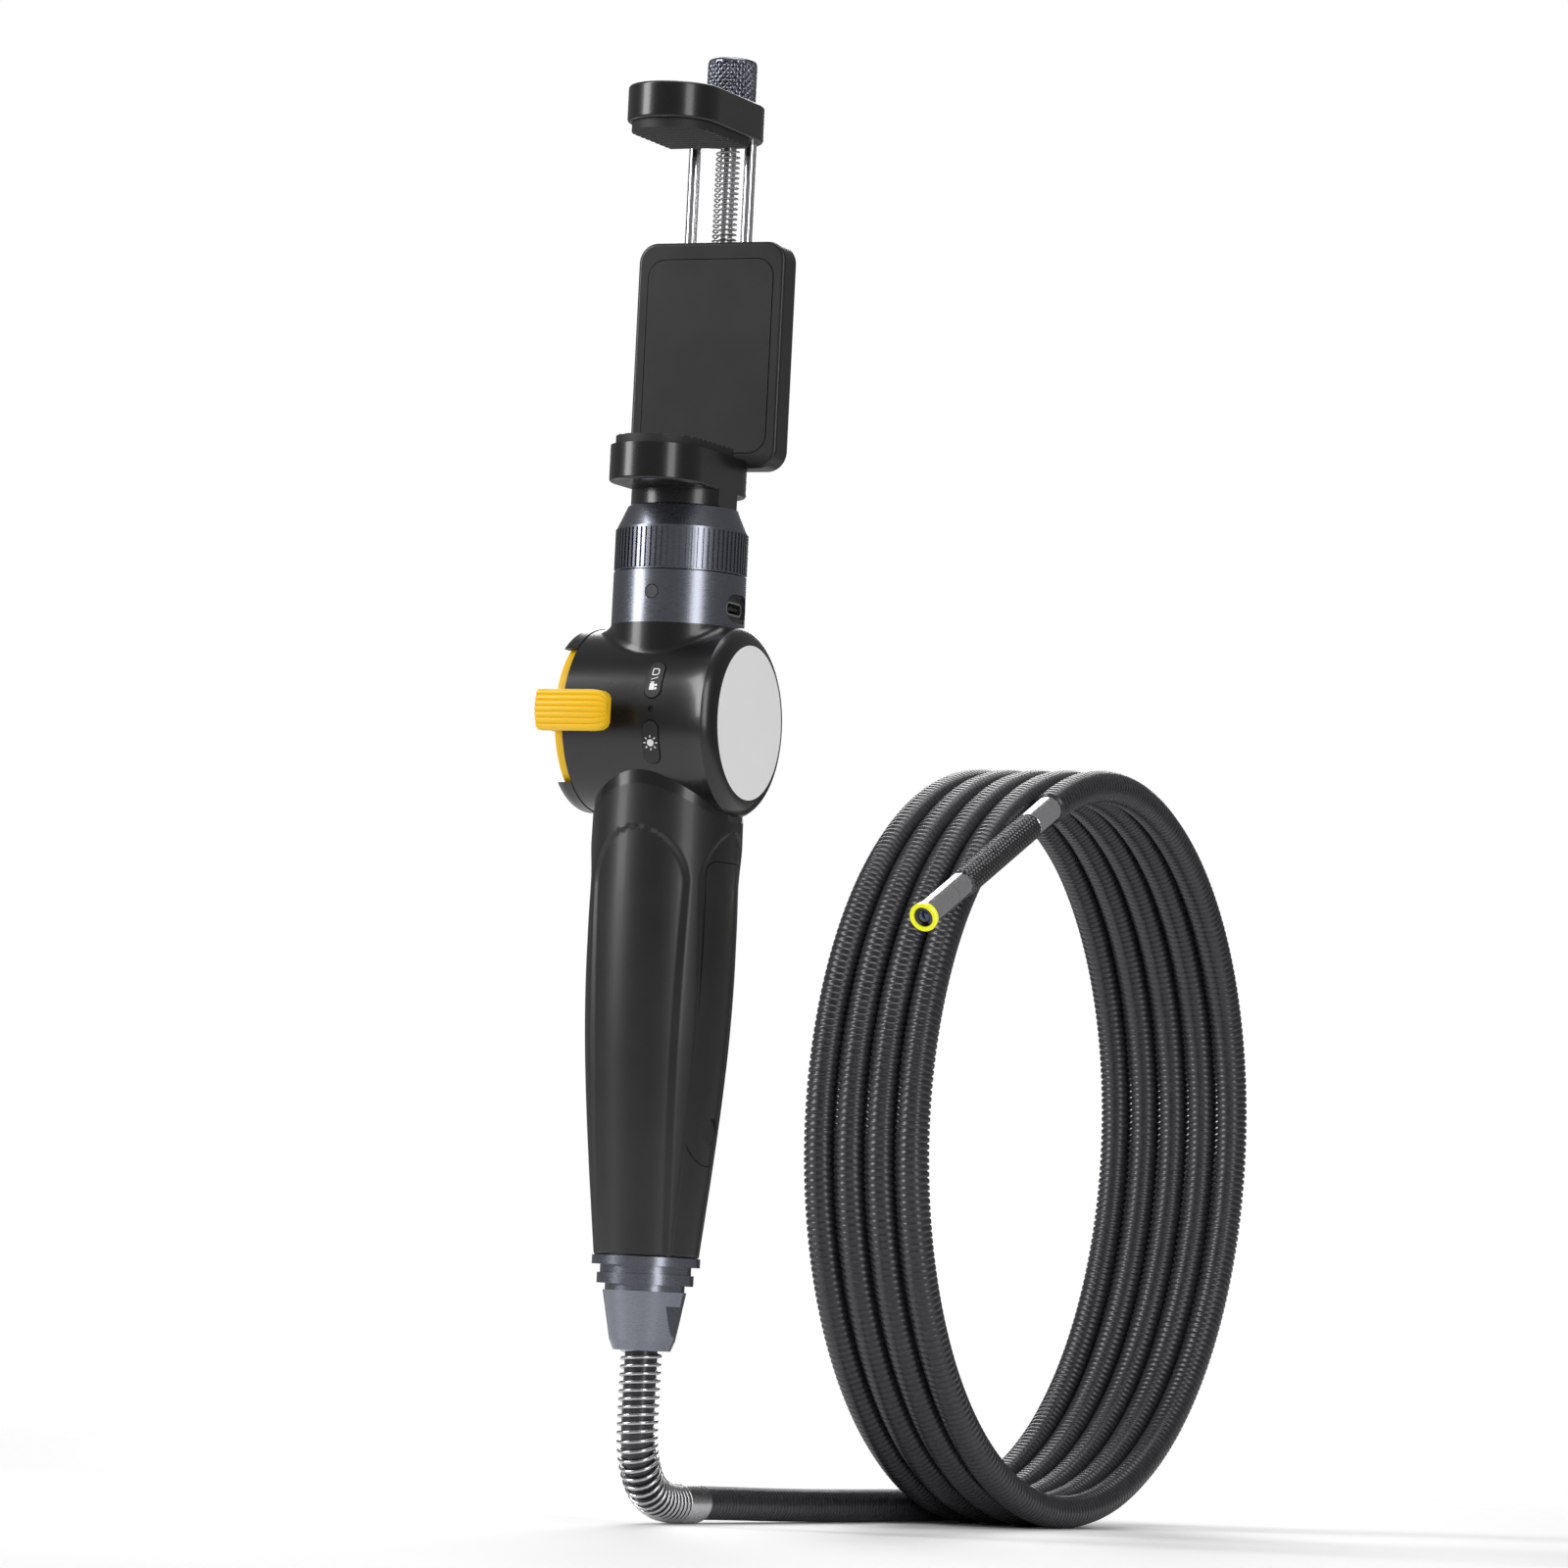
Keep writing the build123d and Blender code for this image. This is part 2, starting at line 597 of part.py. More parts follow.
front_wire = pull_wire(-WIRE_Y)
rear_wire = pull_wire(WIRE_Y)

# ================================================================ collar and lock ring
with BuildPart() as collar:
    with BuildSketch(Plane.XY.offset(COLLAR_BOTTOM)):
        Circle(COLLAR_R)
    extrude(amount=COLLAR_TOP - COLLAR_BOTTOM)
    with BuildSketch(Plane.XY.offset(COLLAR_BOTTOM - 6.0)):
        Circle(GRIP_SPIGOT_R)
    extrude(amount=8.0)
    with BuildSketch(Plane.XY.offset(COLLAR_TOP)):
        Circle(COLLAR_NECK_R)
    extrude(amount=COLLAR_NECK_TOP - COLLAR_TOP)
    with BuildSketch(Plane.XY.offset(HEAD_Z)):
        Circle(COLLAR_BORE_R)
    extrude(amount=COLLAR_PLATE - HEAD_Z, mode=Mode.SUBTRACT)
    with BuildSketch(Plane.XY.offset(HEAD_Z)):
        Circle(STEM_R + RUNNING)
    extrude(amount=COLLAR_NECK_TOP - HEAD_Z, mode=Mode.SUBTRACT)
    # socket recess and slot on the right, button hole at the front
    with BuildSketch(Plane.YZ.offset(COLLAR_R - USB_RECESS - USB_BEZEL)):
        with Locations((0, USB_Z)):
            RectangleRounded(USB_RECESS_LENGTH, USB_RECESS_HEIGHT, 3.2)
    extrude(amount=COLLAR_R, mode=Mode.SUBTRACT)
    with BuildSketch(Plane.YZ):
        with Locations((0, USB_Z)):
            RectangleRounded(USB_LENGTH, USB_HEIGHT, USB_HEIGHT / 2 - 0.01)
    extrude(amount=COLLAR_R, mode=Mode.SUBTRACT)
    with BuildSketch(Plane.XZ):
        with Locations((0, POWER_Z)):
            Circle(POWER_R + PARTING)
    extrude(amount=COLLAR_R + 1.0, mode=Mode.SUBTRACT)

with BuildPart() as usb_shell:
    with BuildSketch(Plane.YZ.offset(COLLAR_R - USB_RECESS - USB_DEPTH)):
        with Locations((0, USB_Z)):
            RectangleRounded(USB_LENGTH, USB_HEIGHT, USB_HEIGHT / 2 - 0.01)
    extrude(amount=USB_DEPTH)
    with BuildSketch(Plane.YZ.offset(COLLAR_R - USB_RECESS)):
        with Locations((0, USB_Z)):
            inner_height = USB_HEIGHT - 2 * USB_WALL
            RectangleRounded(USB_LENGTH - 2 * USB_WALL, inner_height, inner_height / 2 - 0.01)
    extrude(amount=-(USB_DEPTH - 1.0), mode=Mode.SUBTRACT)

with BuildPart() as usb_bezel:
    with BuildSketch(Plane.YZ.offset(COLLAR_R - USB_RECESS - USB_BEZEL)):
        with Locations((0, USB_Z)):
            RectangleRounded(USB_RECESS_LENGTH, USB_RECESS_HEIGHT, 3.2)
            RectangleRounded(USB_LENGTH, USB_HEIGHT, USB_HEIGHT / 2 - 0.01, mode=Mode.SUBTRACT)
    extrude(amount=USB_BEZEL)

with BuildPart() as usb_tongue:
    with BuildSketch(Plane.YZ.offset(COLLAR_R - USB_RECESS - USB_DEPTH + 1.0)):
        with Locations((0, USB_Z)):
            Rectangle(USB_LENGTH - 2.2, 0.7)
    extrude(amount=USB_DEPTH - 1.6)

with BuildPart() as power_button:
    with BuildSketch(Plane.XZ.offset(COLLAR_BORE_R - 0.9)):
        with Locations((0, POWER_Z)):
            Circle(POWER_R)
    extrude(amount=COLLAR_R - COLLAR_BORE_R + 0.9 - 0.1)
    with BuildSketch(Plane.XZ.offset(COLLAR_BORE_R - 0.9)):
        with Locations((0, POWER_Z)):
            Circle(POWER_R + 0.7)
    extrude(amount=0.6)

with BuildPart() as lock_ring:
    ring_bottom = COLLAR_TOP + LOOSE
    with BuildSketch(Plane.XZ):
        with BuildLine():
            Polyline(
                (COLLAR_NECK_R + RUNNING, ring_bottom),
                (COLLAR_R - 0.35, ring_bottom),
                (COLLAR_R - 0.35, RING_KNURL_TOP),
                (RING_TOP_R, RING_TOP),
                (STEM_R + 0.4, RING_TOP),
                (STEM_R + 0.4, COLLAR_NECK_TOP + LOOSE),
                (COLLAR_NECK_R + RUNNING, COLLAR_NECK_TOP + LOOSE),
                close=True,
            )
        make_face()
    revolve(axis=Axis.Z)
    # straight flutes standing proud of the grip band
    with BuildSketch(Plane.XY.offset(ring_bottom + 0.4)):
        with PolarLocations(COLLAR_R - 0.45, RING_FLUTES):
            Rectangle(0.9, 0.75)
    extrude(amount=RING_KNURL_TOP - ring_bottom - 0.9)

# ================================================================ phone clamp: base and back plate
plate_slot_depth = LOWER_JAW_TOP - PLATE_BOTTOM
with BuildPart() as clamp_base:
    with BuildSketch(Plane.XY.offset(LOWER_JAW_Z)):
        jaw_outline()
    extrude(amount=JAW_THICK)
    fillet(clamp_base.edges().group_by(Axis.Z)[0], radius=0.8)
    with BuildSketch(Plane.XY.offset(RING_TOP + LOOSE)):
        Circle(NECK_R)
        Rectangle(2 * JAW_HALF, 2 * NECK_R, mode=Mode.INTERSECT)
    extrude(amount=LOWER_JAW_Z - RING_TOP - LOOSE + 1.0)
    with BuildSketch(Plane.XY.offset(STEM_BOTTOM)):
        Circle(STEM_R)
    extrude(amount=LOWER_JAW_Z - STEM_BOTTOM)
    with BuildSketch(Plane.XY.offset(SNAP_Z)):
        Circle(STEM_R + 1.0)
        Circle(SNAP_R, mode=Mode.SUBTRACT)
    extrude(amount=SNAP_THICK, mode=Mode.SUBTRACT)
    with BuildSketch(Plane.XY.offset(PLATE_BOTTOM)):
        with Locations((0, PLATE_FRONT_Y + PLATE_THICK / 2)):
            Rectangle(4 * JAW_HALF, PLATE_THICK)
        with Locations((0, PLATE_FRONT_Y + PLATE_THICK + BOSS_DEPTH / 2)):
            Rectangle(2 * BOSS_HALF, BOSS_DEPTH)
    extrude(amount=plate_slot_depth, mode=Mode.SUBTRACT)
    # pilot holes for the two screws that hold the back plate
    with BuildSketch(Plane.XY.offset(LOWER_JAW_Z)):
        with Locations((-ROD_X, ROD_Y), (ROD_X, ROD_Y)):
            Circle(1.0)
    extrude(amount=PLATE_BOTTOM - LOWER_JAW_Z, mode=Mode.SUBTRACT)

with BuildPart() as stem_snap_ring:
    with BuildSketch(Plane.XY.offset(SNAP_Z)):
        Circle(SNAP_OUTER_R)
        Circle(SNAP_R, mode=Mode.SUBTRACT)
        with Locations((-SNAP_OUTER_R, 0)):
            Rectangle(2 * SNAP_OUTER_R - 2 * SNAP_R + 4.0, 4.0, mode=Mode.SUBTRACT)
    extrude(amount=SNAP_THICK)

with BuildPart() as plate_screws:
    for screw_x in (-ROD_X, ROD_X):
        with BuildSketch(Plane.XY.offset(LOWER_JAW_Z + 1.0)):
            with Locations((screw_x, ROD_Y)):
                Circle(1.0)
        extrude(amount=PLATE_BOTTOM - LOWER_JAW_Z)


def jaw_pad(z, ribs_up):
    """A rubber pad on a jaw's gripping face, with ribs across it."""
    rib_side = 1 if ribs_up else -1
    face_z = z if ribs_up else z + PAD_THICK
    with BuildPart() as pad:
        with BuildSketch(Plane.XY.offset(face_z)):
            jaw_outline(PAD_INSET)
            with Locations((0, PAD_REAR_Y + JAW_HALF * 2)):
                Rectangle(4 * JAW_HALF, 4 * JAW_HALF, mode=Mode.SUBTRACT)
        extrude(amount=rib_side * PAD_THICK)
        pad_length = PAD_REAR_Y - JAW_FRONT_Y + JAW_HALF
        count = int(pad_length / PAD_RIB_PITCH)
        for rib in range(count):
            rib_y = PAD_REAR_Y - (rib + 0.5) * PAD_RIB_PITCH
            with BuildSketch(Plane.YZ.offset(-JAW_HALF)):
                with BuildLine():
                    tip = face_z + rib_side * (PAD_THICK - PAD_RIB_DEPTH)
                    lip = face_z + rib_side * (PAD_THICK + 0.1)
                    Polyline((rib_y - 0.7, lip), (rib_y, tip), (rib_y + 0.7, lip), close=True)
                make_face()
            extrude(amount=2 * JAW_HALF, mode=Mode.SUBTRACT)
    return pad


lower_jaw_pad = jaw_pad(LOWER_JAW_TOP, True)

with BuildPart() as back_plate:
    with BuildSketch(Plane.XZ.offset(-PLATE_FRONT_Y)):
        with Locations((0, PLATE_BOTTOM + PLATE_HEIGHT / 2)):
            RectangleRounded(2 * PLATE_HALF, PLATE_HEIGHT, PLATE_CORNER)
    extrude(amount=-PLATE_THICK)
    fillet(back_plate.edges().group_by(Axis.Y)[0], radius=0.9)
    with BuildSketch(Plane.XZ.offset(-PLATE_FRONT_Y - PLATE_THICK)):
        with Locations((0, PLATE_BOTTOM + PLATE_HEIGHT / 2)):
            Rectangle(2 * BOSS_HALF, PLATE_HEIGHT)
    extrude(amount=-BOSS_DEPTH)
    fillet(back_plate.edges().filter_by(Axis.Z).group_by(Axis.Y)[-1], radius=2.5)
    with BuildSketch(Plane.XZ.offset(-PLATE_FRONT_Y)):
        with Locations((0, BACK_PAD_BOTTOM + BACK_PAD_HEIGHT / 2)):
            RectangleRounded(2 * (BACK_PAD_HALF + PARTING), BACK_PAD_HEIGHT + 2 * PARTING, 4.5 + PARTING)
    extrude(amount=-BACK_PAD_THICK, mode=Mode.SUBTRACT)
    with BuildSketch(Plane.XY.offset(PLATE_TOP)):
        with Locations((-ROD_X, ROD_Y), (ROD_X, ROD_Y)):
            Circle(ROD_R + RUNNING)
    extrude(amount=-(PLATE_HEIGHT - 4.0), mode=Mode.SUBTRACT)
    with BuildSketch(Plane.XY.offset(PLATE_TOP)):
        with Locations((0, SCREW_Y)):
            Circle(SCREW_R + LOOSE)
    extrude(amount=-(PLATE_HEIGHT - 2.0), mode=Mode.SUBTRACT)
    with BuildSketch(Plane.XY.offset(NUT_Z)):
        with Locations((0, SCREW_Y)):
            Circle(NUT_R)
    extrude(amount=NUT_LENGTH, mode=Mode.SUBTRACT)
    with BuildSketch(Plane.XY.offset(PLATE_BOTTOM)):
        with Locations((-ROD_X, ROD_Y), (ROD_X, ROD_Y)):
            Circle(1.0)
    extrude(amount=1.0, mode=Mode.SUBTRACT)

with BuildPart() as back_pad:
    with BuildSketch(Plane.XZ.offset(-PLATE_FRONT_Y - BACK_PAD_THICK)):
        with Locations((0, BACK_PAD_BOTTOM + BACK_PAD_HEIGHT / 2)):
            RectangleRounded(2 * BACK_PAD_HALF, BACK_PAD_HEIGHT, 4.5)
    extrude(amount=BACK_PAD_THICK + 0.1)

with BuildPart() as clamp_nut:
    with BuildSketch(Plane.XY.offset(NUT_Z)):
        with Locations((0, SCREW_Y)):
            Circle(NUT_R)
            Circle(SCREW_R + RUNNING, mode=Mode.SUBTRACT)
    extrude(amount=NUT_LENGTH)

# ================================================================ phone clamp: moving jaw, rods, screw
with BuildPart() as upper_jaw:
    with BuildSketch(Plane.XY.offset(UPPER_JAW_Z)):
        jaw_outline()
    extrude(amount=JAW_THICK)
    fillet(upper_jaw.edges().group_by(Axis.Z)[-1] + upper_jaw.edges().group_by(Axis.Z)[0], radius=0.8)
    with BuildSketch(Plane.XY.offset(UPPER_JAW_Z)):
        with Locations((-ROD_X, ROD_Y), (ROD_X, ROD_Y)):
            Circle(ROD_R)
    extrude(amount=JAW_THICK - 2.0, mode=Mode.SUBTRACT)
    with BuildSketch(Plane.XY.offset(UPPER_JAW_Z)):
        with Locations((0, SCREW_Y)):
            Circle(SCREW_R + RUNNING)
    extrude(amount=JAW_THICK, mode=Mode.SUBTRACT)

upper_jaw_pad = jaw_pad(UPPER_PAD_Z, False)

with BuildPart() as guide_rods:
    with BuildSketch(Plane.XY.offset(ROD_BOTTOM)):
        with Locations((-ROD_X, ROD_Y), (ROD_X, ROD_Y)):
            Circle(ROD_R)
    extrude(amount=UPPER_JAW_TOP - 2.0 - ROD_BOTTOM)
    chamfer(guide_rods.edges().group_by(Axis.Z)[0], length=0.4)

with BuildPart() as clamp_screw:
    with BuildSketch(Plane.XY.offset(SCREW_BOTTOM)):
        with Locations((0, SCREW_Y)):
            Circle(SCREW_R)
    extrude(amount=UPPER_JAW_TOP + LOOSE + 4.0 - SCREW_BOTTOM)
    chamfer(clamp_screw.edges().group_by(Axis.Z)[0], length=0.5)

with BuildPart() as clamp_knob:
    with BuildSketch(Plane.XY.offset(UPPER_JAW_TOP + LOOSE)):
        with Locations((0, SCREW_Y)):
            Circle(KNOB_R)
    extrude(amount=KNOB_HEIGHT)
    chamfer(clamp_knob.edges().filter_by(GeomType.CIRCLE), length=0.7)
    with BuildSketch(Plane.XY.offset(UPPER_JAW_TOP + LOOSE)):
        with Locations((0, SCREW_Y)):
            Circle(SCREW_R)
    extrude(amount=4.0, mode=Mode.SUBTRACT)

spring_bottom = PLATE_TOP + SPRING_WIRE_R + 0.05
spring_turns = int((UPPER_JAW_Z - PLATE_TOP - 2 * SPRING_WIRE_R - 0.1) / SPRING_PITCH)
with BuildPart() as clamp_spring:
    with BuildLine():
        Helix(pitch=SPRING_PITCH, height=spring_turns * SPRING_PITCH, radius=SPRING_R, center=(0, SCREW_Y, spring_bottom))
    with BuildSketch(Plane(origin=(SPRING_R, SCREW_Y, spring_bottom), x_dir=(1, 0, 0), z_dir=(0, 1, 0))):
        Circle(SPRING_WIRE_R)
    sweep(is_frenet=True)

# ================================================================ gland at the bottom of the grip
ring_bottom_z = GRIP_BOTTOM - END_RING_THICK
with BuildPart() as grip_end_ring:
    with BuildSketch(Plane.XY.offset(ring_bottom_z)):
        Circle(END_RING_R)
    extrude(amount=END_RING_THICK)
    with BuildSketch(Plane.XY.offset(GRIP_BOTTOM)):
        Circle(GRIP_END_R - GRIP_WALL - SCOOP_DEPTH - RUNNING)
    extrude(amount=6.0)
    with BuildSketch(Plane.XY.offset(ring_bottom_z - GROOVE_DEPTH - 1.0)):
        Circle(NUT_FLANGE_R - 2.6)
    extrude(amount=GROOVE_DEPTH + 1.0)
    with BuildSketch(Plane.XY.offset(ring_bottom_z - GROOVE_DEPTH)):
        Circle(NUT_FLANGE_R - 0.7)
    extrude(amount=GROOVE_DEPTH)
    with BuildSketch(Plane.XY.offset(ring_bottom_z - 5.0)):
        Circle(HOSE_R + RUNNING)
    extrude(amount=30.0, mode=Mode.SUBTRACT)

flange_top = ring_bottom_z - GROOVE_DEPTH
with BuildPart() as gland_nut:
    with BuildSketch(Plane.XZ):
        with BuildLine():
            Polyline(
                (HOSE_R + RUNNING, flange_top),
                (NUT_FLANGE_R, flange_top),
                (NUT_FLANGE_R, flange_top - NUT_FLANGE_THICK),
                (GLAND_NECK_R - 0.5, flange_top - NUT_FLANGE_THICK),
                (GLAND_NECK_R - 0.5, flange_top - NUT_FLANGE_THICK - 1.6),
                (GLAND_NECK_R, flange_top - NUT_FLANGE_THICK - 1.6),
                (GLAND_END_R, GLAND_BOTTOM + 2.4),
                (GLAND_END_R - 1.0, GLAND_BOTTOM),
                (GUARD_R + GUARD_CLEAR, GLAND_BOTTOM),
                (GUARD_R + GUARD_CLEAR, SEAT_Z),
                (HOSE_R + RUNNING, SEAT_Z),
                close=True,
            )
        make_face()
    revolve(axis=Axis.Z)
    with BuildSketch(Plane.XY.offset(flange_top - 1.0)):
        Circle(NUT_FLANGE_R - 2.6)
    extrude(amount=1.0, mode=Mode.SUBTRACT)
    # wrench flats on both sides of the cone
    with BuildSketch(Plane.XY.offset(GLAND_BOTTOM)):
        with Locations((-GLAND_END_R - 4.2, 0), (GLAND_END_R + 4.2, 0)):
            Rectangle(8.0, 4 * GLAND_END_R)
    extrude(amount=11.0, mode=Mode.SUBTRACT)

# ================================================================ hose: bend, straight run and coil
yaw = math.radians(COIL_YAW)
RUN_DIR = Vector(math.sin(yaw), math.cos(yaw), 0)
COIL_AXIS = Vector(math.cos(yaw), -math.sin(yaw), 0)
ROUTE = [
    (0.0, 0.0, SEAT_Z),
    (0.0, -0.25, -86.4),
    (0.0, 0.0, GUARD_Z + 10.5),
    (0.0, 10.5, GUARD_Z),
    (0.4, 37.5, GUARD_Z),
    (3.9, 91.0, HOSE_FLOOR_Z),
    (6.5, 135.0, HOSE_FLOOR_Z),
    (COIL_START[0], COIL_START[1], HOSE_FLOOR_Z),
]


def bend_radii(points):
    """For each corner of the route, the largest arc that its two runs allow."""
    radii = []
    for before, corner, after in zip(points, points[1:], points[2:]):
        run_in = Vector(corner) - Vector(before)
        run_out = Vector(after) - Vector(corner)
        turn = math.radians(run_in.get_angle(run_out))
        radii.append(0.45 * min(run_in.length, run_out.length) / math.tan(turn / 2))
    return radii


FIRST_RUN = tuple(Vector(ROUTE[1]) - Vector(ROUTE[0]))
ROUTE_RADII = bend_radii(ROUTE)
print("hose bend radii", [round(radius, 1) for radius in ROUTE_RADII])

with BuildPart() as hose_run:
    with BuildLine() as hose_line:
        FilletPolyline(*ROUTE, radius=ROUTE_RADII)
    with BuildSketch(Plane(origin=ROUTE[0], x_dir=(1, 0, 0), z_dir=FIRST_RUN)):
        Circle(HOSE_R)
    sweep()
hose_length = sum(edge.length for edge in hose_line.edges())
print("hose run length", round(hose_length, 1), "volume ratio",
      round(hose_run.part.volume / (math.pi * HOSE_R ** 2 * hose_length), 4))

# the bend guard is a close-wound steel spring round the hose, here as a sleeve of its size
guard_end = Vector(ROUTE[3]) + (Vector(ROUTE[4]) - Vector(ROUTE[3])) * 0.495
GUARD_ROUTE = ROUTE[:4] + [tuple(guard_end)]
guard_radii = ROUTE_RADII[:3]
with BuildPart() as bend_guard:
    with BuildLine():
        FilletPolyline(*GUARD_ROUTE, radius=guard_radii)
    with BuildSketch(Plane(origin=ROUTE[0], x_dir=(1, 0, 0), z_dir=FIRST_RUN)):
        Circle(GUARD_R)
        Circle(HOSE_R + RUNNING, mode=Mode.SUBTRACT)
    sweep()

with BuildPart() as guard_ferrule:
    with BuildSketch(Plane.XZ.offset(-FERRULE_START)):
        with Locations((0, GUARD_Z)):
            Circle(GUARD_R)
    extrude(amount=-FERRULE_LENGTH)
    chamfer(guard_ferrule.edges().group_by(Axis.Y)[-1], length=0.4)
    add(hose_run.part, mode=Mode.SUBTRACT)

turns = 4 + (COIL_END_ANGLE + 90.0) / 360.0
coil_centre = Vector(COIL_START[0], COIL_START[1], HOSE_FLOOR_Z + COIL_R)
coil_plane = Plane(origin=tuple(coil_centre), x_dir=tuple(RUN_DIR), z_dir=tuple(COIL_AXIS))


def coil_sector(start_angle, end_angle, first_turn, last_turn):
    """A sector of the coil, from the outer side of one turn to the outer side of another."""
    near_side = first_turn * COIL_PITCH - HOSE_R
    far_side = last_turn * COIL_PITCH + HOSE_R
    with BuildPart() as sector:
        with BuildSketch(coil_plane.offset(near_side)):
            with BuildLine():
                CenterArc((0, 0), COIL_R + HOSE_R, start_angle, end_angle - start_angle)
                CenterArc((0, 0), COIL_R - HOSE_R, start_angle, end_angle - start_angle)
                for edge_angle in (start_angle, end_angle):
                    turned = math.radians(edge_angle)
                    across = Vector(math.cos(turned), math.sin(turned))
                    Line(across * (COIL_R - HOSE_R), across * (COIL_R + HOSE_R))
            make_face()
        extrude(amount=far_side - near_side)
    return sector.part


# 0 degrees is away from the handle and 90 is up; each turn starts and ends at the bottom
tip_turn = turns + COIL_END_DRIFT / COIL_PITCH
with BuildPart() as hose_coil:
    add(coil_sector(-90.0, 30.0, 0.0, 4.4))
    add(coil_sector(30.0, COIL_END_ANGLE, 0.3, tip_turn))
    add(coil_sector(COIL_END_ANGLE, COIL_END_ANGLE + 50.0, 0.55, 3.72))
    add(coil_sector(COIL_END_ANGLE + 50.0, 270.0, 0.68, 4.0))

# ================================================================ articulating tip
end_angle = math.radians(COIL_END_ANGLE)
tip_offset = turns * COIL_PITCH + COIL_END_DRIFT
TIP_START = (
    coil_centre
    + COIL_AXIS * tip_offset
    + RUN_DIR * (COIL_R * math.cos(end_angle))
    + Vector(0, 0, COIL_R * math.sin(end_angle))
)
TIP_DIR = RUN_DIR * (-math.sin(end_angle)) + Vector(0, 0, math.cos(end_angle))
TIP_SIDE = TIP_DIR.cross(COIL_AXIS)
tip_plane = Plane(origin=tuple(TIP_START), x_dir=tuple(COIL_AXIS), z_dir=tuple(TIP_DIR))
swing_plane = Plane(origin=tuple(TIP_START), x_dir=tuple(TIP_DIR), z_dir=tuple(COIL_AXIS))
print("tip start", [round(value, 3) for value in TIP_START], "direction", [round(value, 5) for value in TIP_DIR],
      "hinge axis", [round(value, 5) for value in COIL_AXIS])

with BuildPart() as tip_ferrule:
    with BuildSketch(tip_plane):
        Circle(TIP_FERRULE_R)
    extrude(amount=TIP_FERRULE_LENGTH)
    chamfer(tip_ferrule.edges().filter_by(GeomType.CIRCLE), length=0.25)

LINK_PITCH = BEND_LENGTH / BEND_JOINTS
JOINT_STATIONS = [TIP_FERRULE_LENGTH + LINK_PITCH * (k + 0.5) for k in range(BEND_JOINTS)]
for k, station in enumerate(JOINT_STATIONS):
    pivot = TIP_START + TIP_DIR * station
    print("bend joint", k + 1, [round(value, 3) for value in pivot])
cut_back = BRAID_R * math.tan(math.radians(BEND_ANGLE / 2)) + 0.12
centre_gap = 0.06


def bend_segment(start, end, wedge_start, wedge_end, outer_r, bore_r):
    """One stretch of the bending section. Its ends are cut back to leave room for the bend."""
    middle_start = start + (centre_gap if wedge_start else 0.0)
    middle_end = end - (centre_gap if wedge_end else 0.0)
    edge_start = start + (cut_back if wedge_start else 0.0)
    edge_end = end - (cut_back if wedge_end else 0.0)
    with BuildPart() as segment:
        with BuildSketch(tip_plane.offset(start)):
            Circle(outer_r)
            Circle(bore_r, mode=Mode.SUBTRACT)
        extrude(amount=end - start)
        with BuildSketch(swing_plane.offset(-2 * BRAID_R)):
            with BuildLine():
                Polyline(
                    (edge_start, -BRAID_R),
                    (middle_start, 0),
                    (edge_start, BRAID_R),
                    (edge_end, BRAID_R),
                    (middle_end, 0),
                    (edge_end, -BRAID_R),
                    close=True,
                )
            make_face()
        extrude(amount=4 * BRAID_R, mode=Mode.INTERSECT)
    return segment


bend_end = TIP_FERRULE_LENGTH + BEND_LENGTH
edges_along = [TIP_FERRULE_LENGTH] + JOINT_STATIONS + [bend_end]
for k in range(BEND_JOINTS + 1):
    braid = bend_segment(edges_along[k], edges_along[k + 1], k > 0, k < BEND_JOINTS, BRAID_R, BRAID_BORE_R)
    save(braid, f"braid_sleeve_{k}")
    if 0 < k < BEND_JOINTS:
        link = bend_segment(edges_along[k], edges_along[k + 1], True, True, VERTEBRA_R, VERTEBRA_BORE_R)
        save(link, f"vertebra_{k}")

camera_start = bend_end + HEAD_SLEEVE_LENGTH
with BuildPart() as head_sleeve:
    with BuildSketch(tip_plane.offset(bend_end)):
        Circle(CAMERA_R)
        Circle(VERTEBRA_BORE_R, mode=Mode.SUBTRACT)
    extrude(amount=HEAD_SLEEVE_LENGTH - 0.1)

with BuildPart() as camera_shell:
    with BuildSketch(tip_plane.offset(camera_start)):
        Circle(CAMERA_R)
        Circle(LIGHT_RING_BORE_R, mode=Mode.SUBTRACT)
    extrude(amount=CAMERA_LENGTH)

with BuildPart() as light_ring:
    with BuildSketch(tip_plane.offset(camera_start + CAMERA_LENGTH)):
        Circle(LIGHT_RING_R)
        Circle(LIGHT_RING_BORE_R, mode=Mode.SUBTRACT)
    extrude(amount=LIGHT_RING_LENGTH)
    chamfer(light_ring.edges().filter_by(GeomType.CIRCLE).group_by(SortBy.RADIUS)[-1], length=0.3)

with BuildPart() as camera_lens:
    with BuildSketch(tip_plane.offset(camera_start + 6.0)):
        Circle(LIGHT_RING_BORE_R)
    extrude(amount=CAMERA_LENGTH + LIGHT_RING_LENGTH - 6.0 - 0.5)

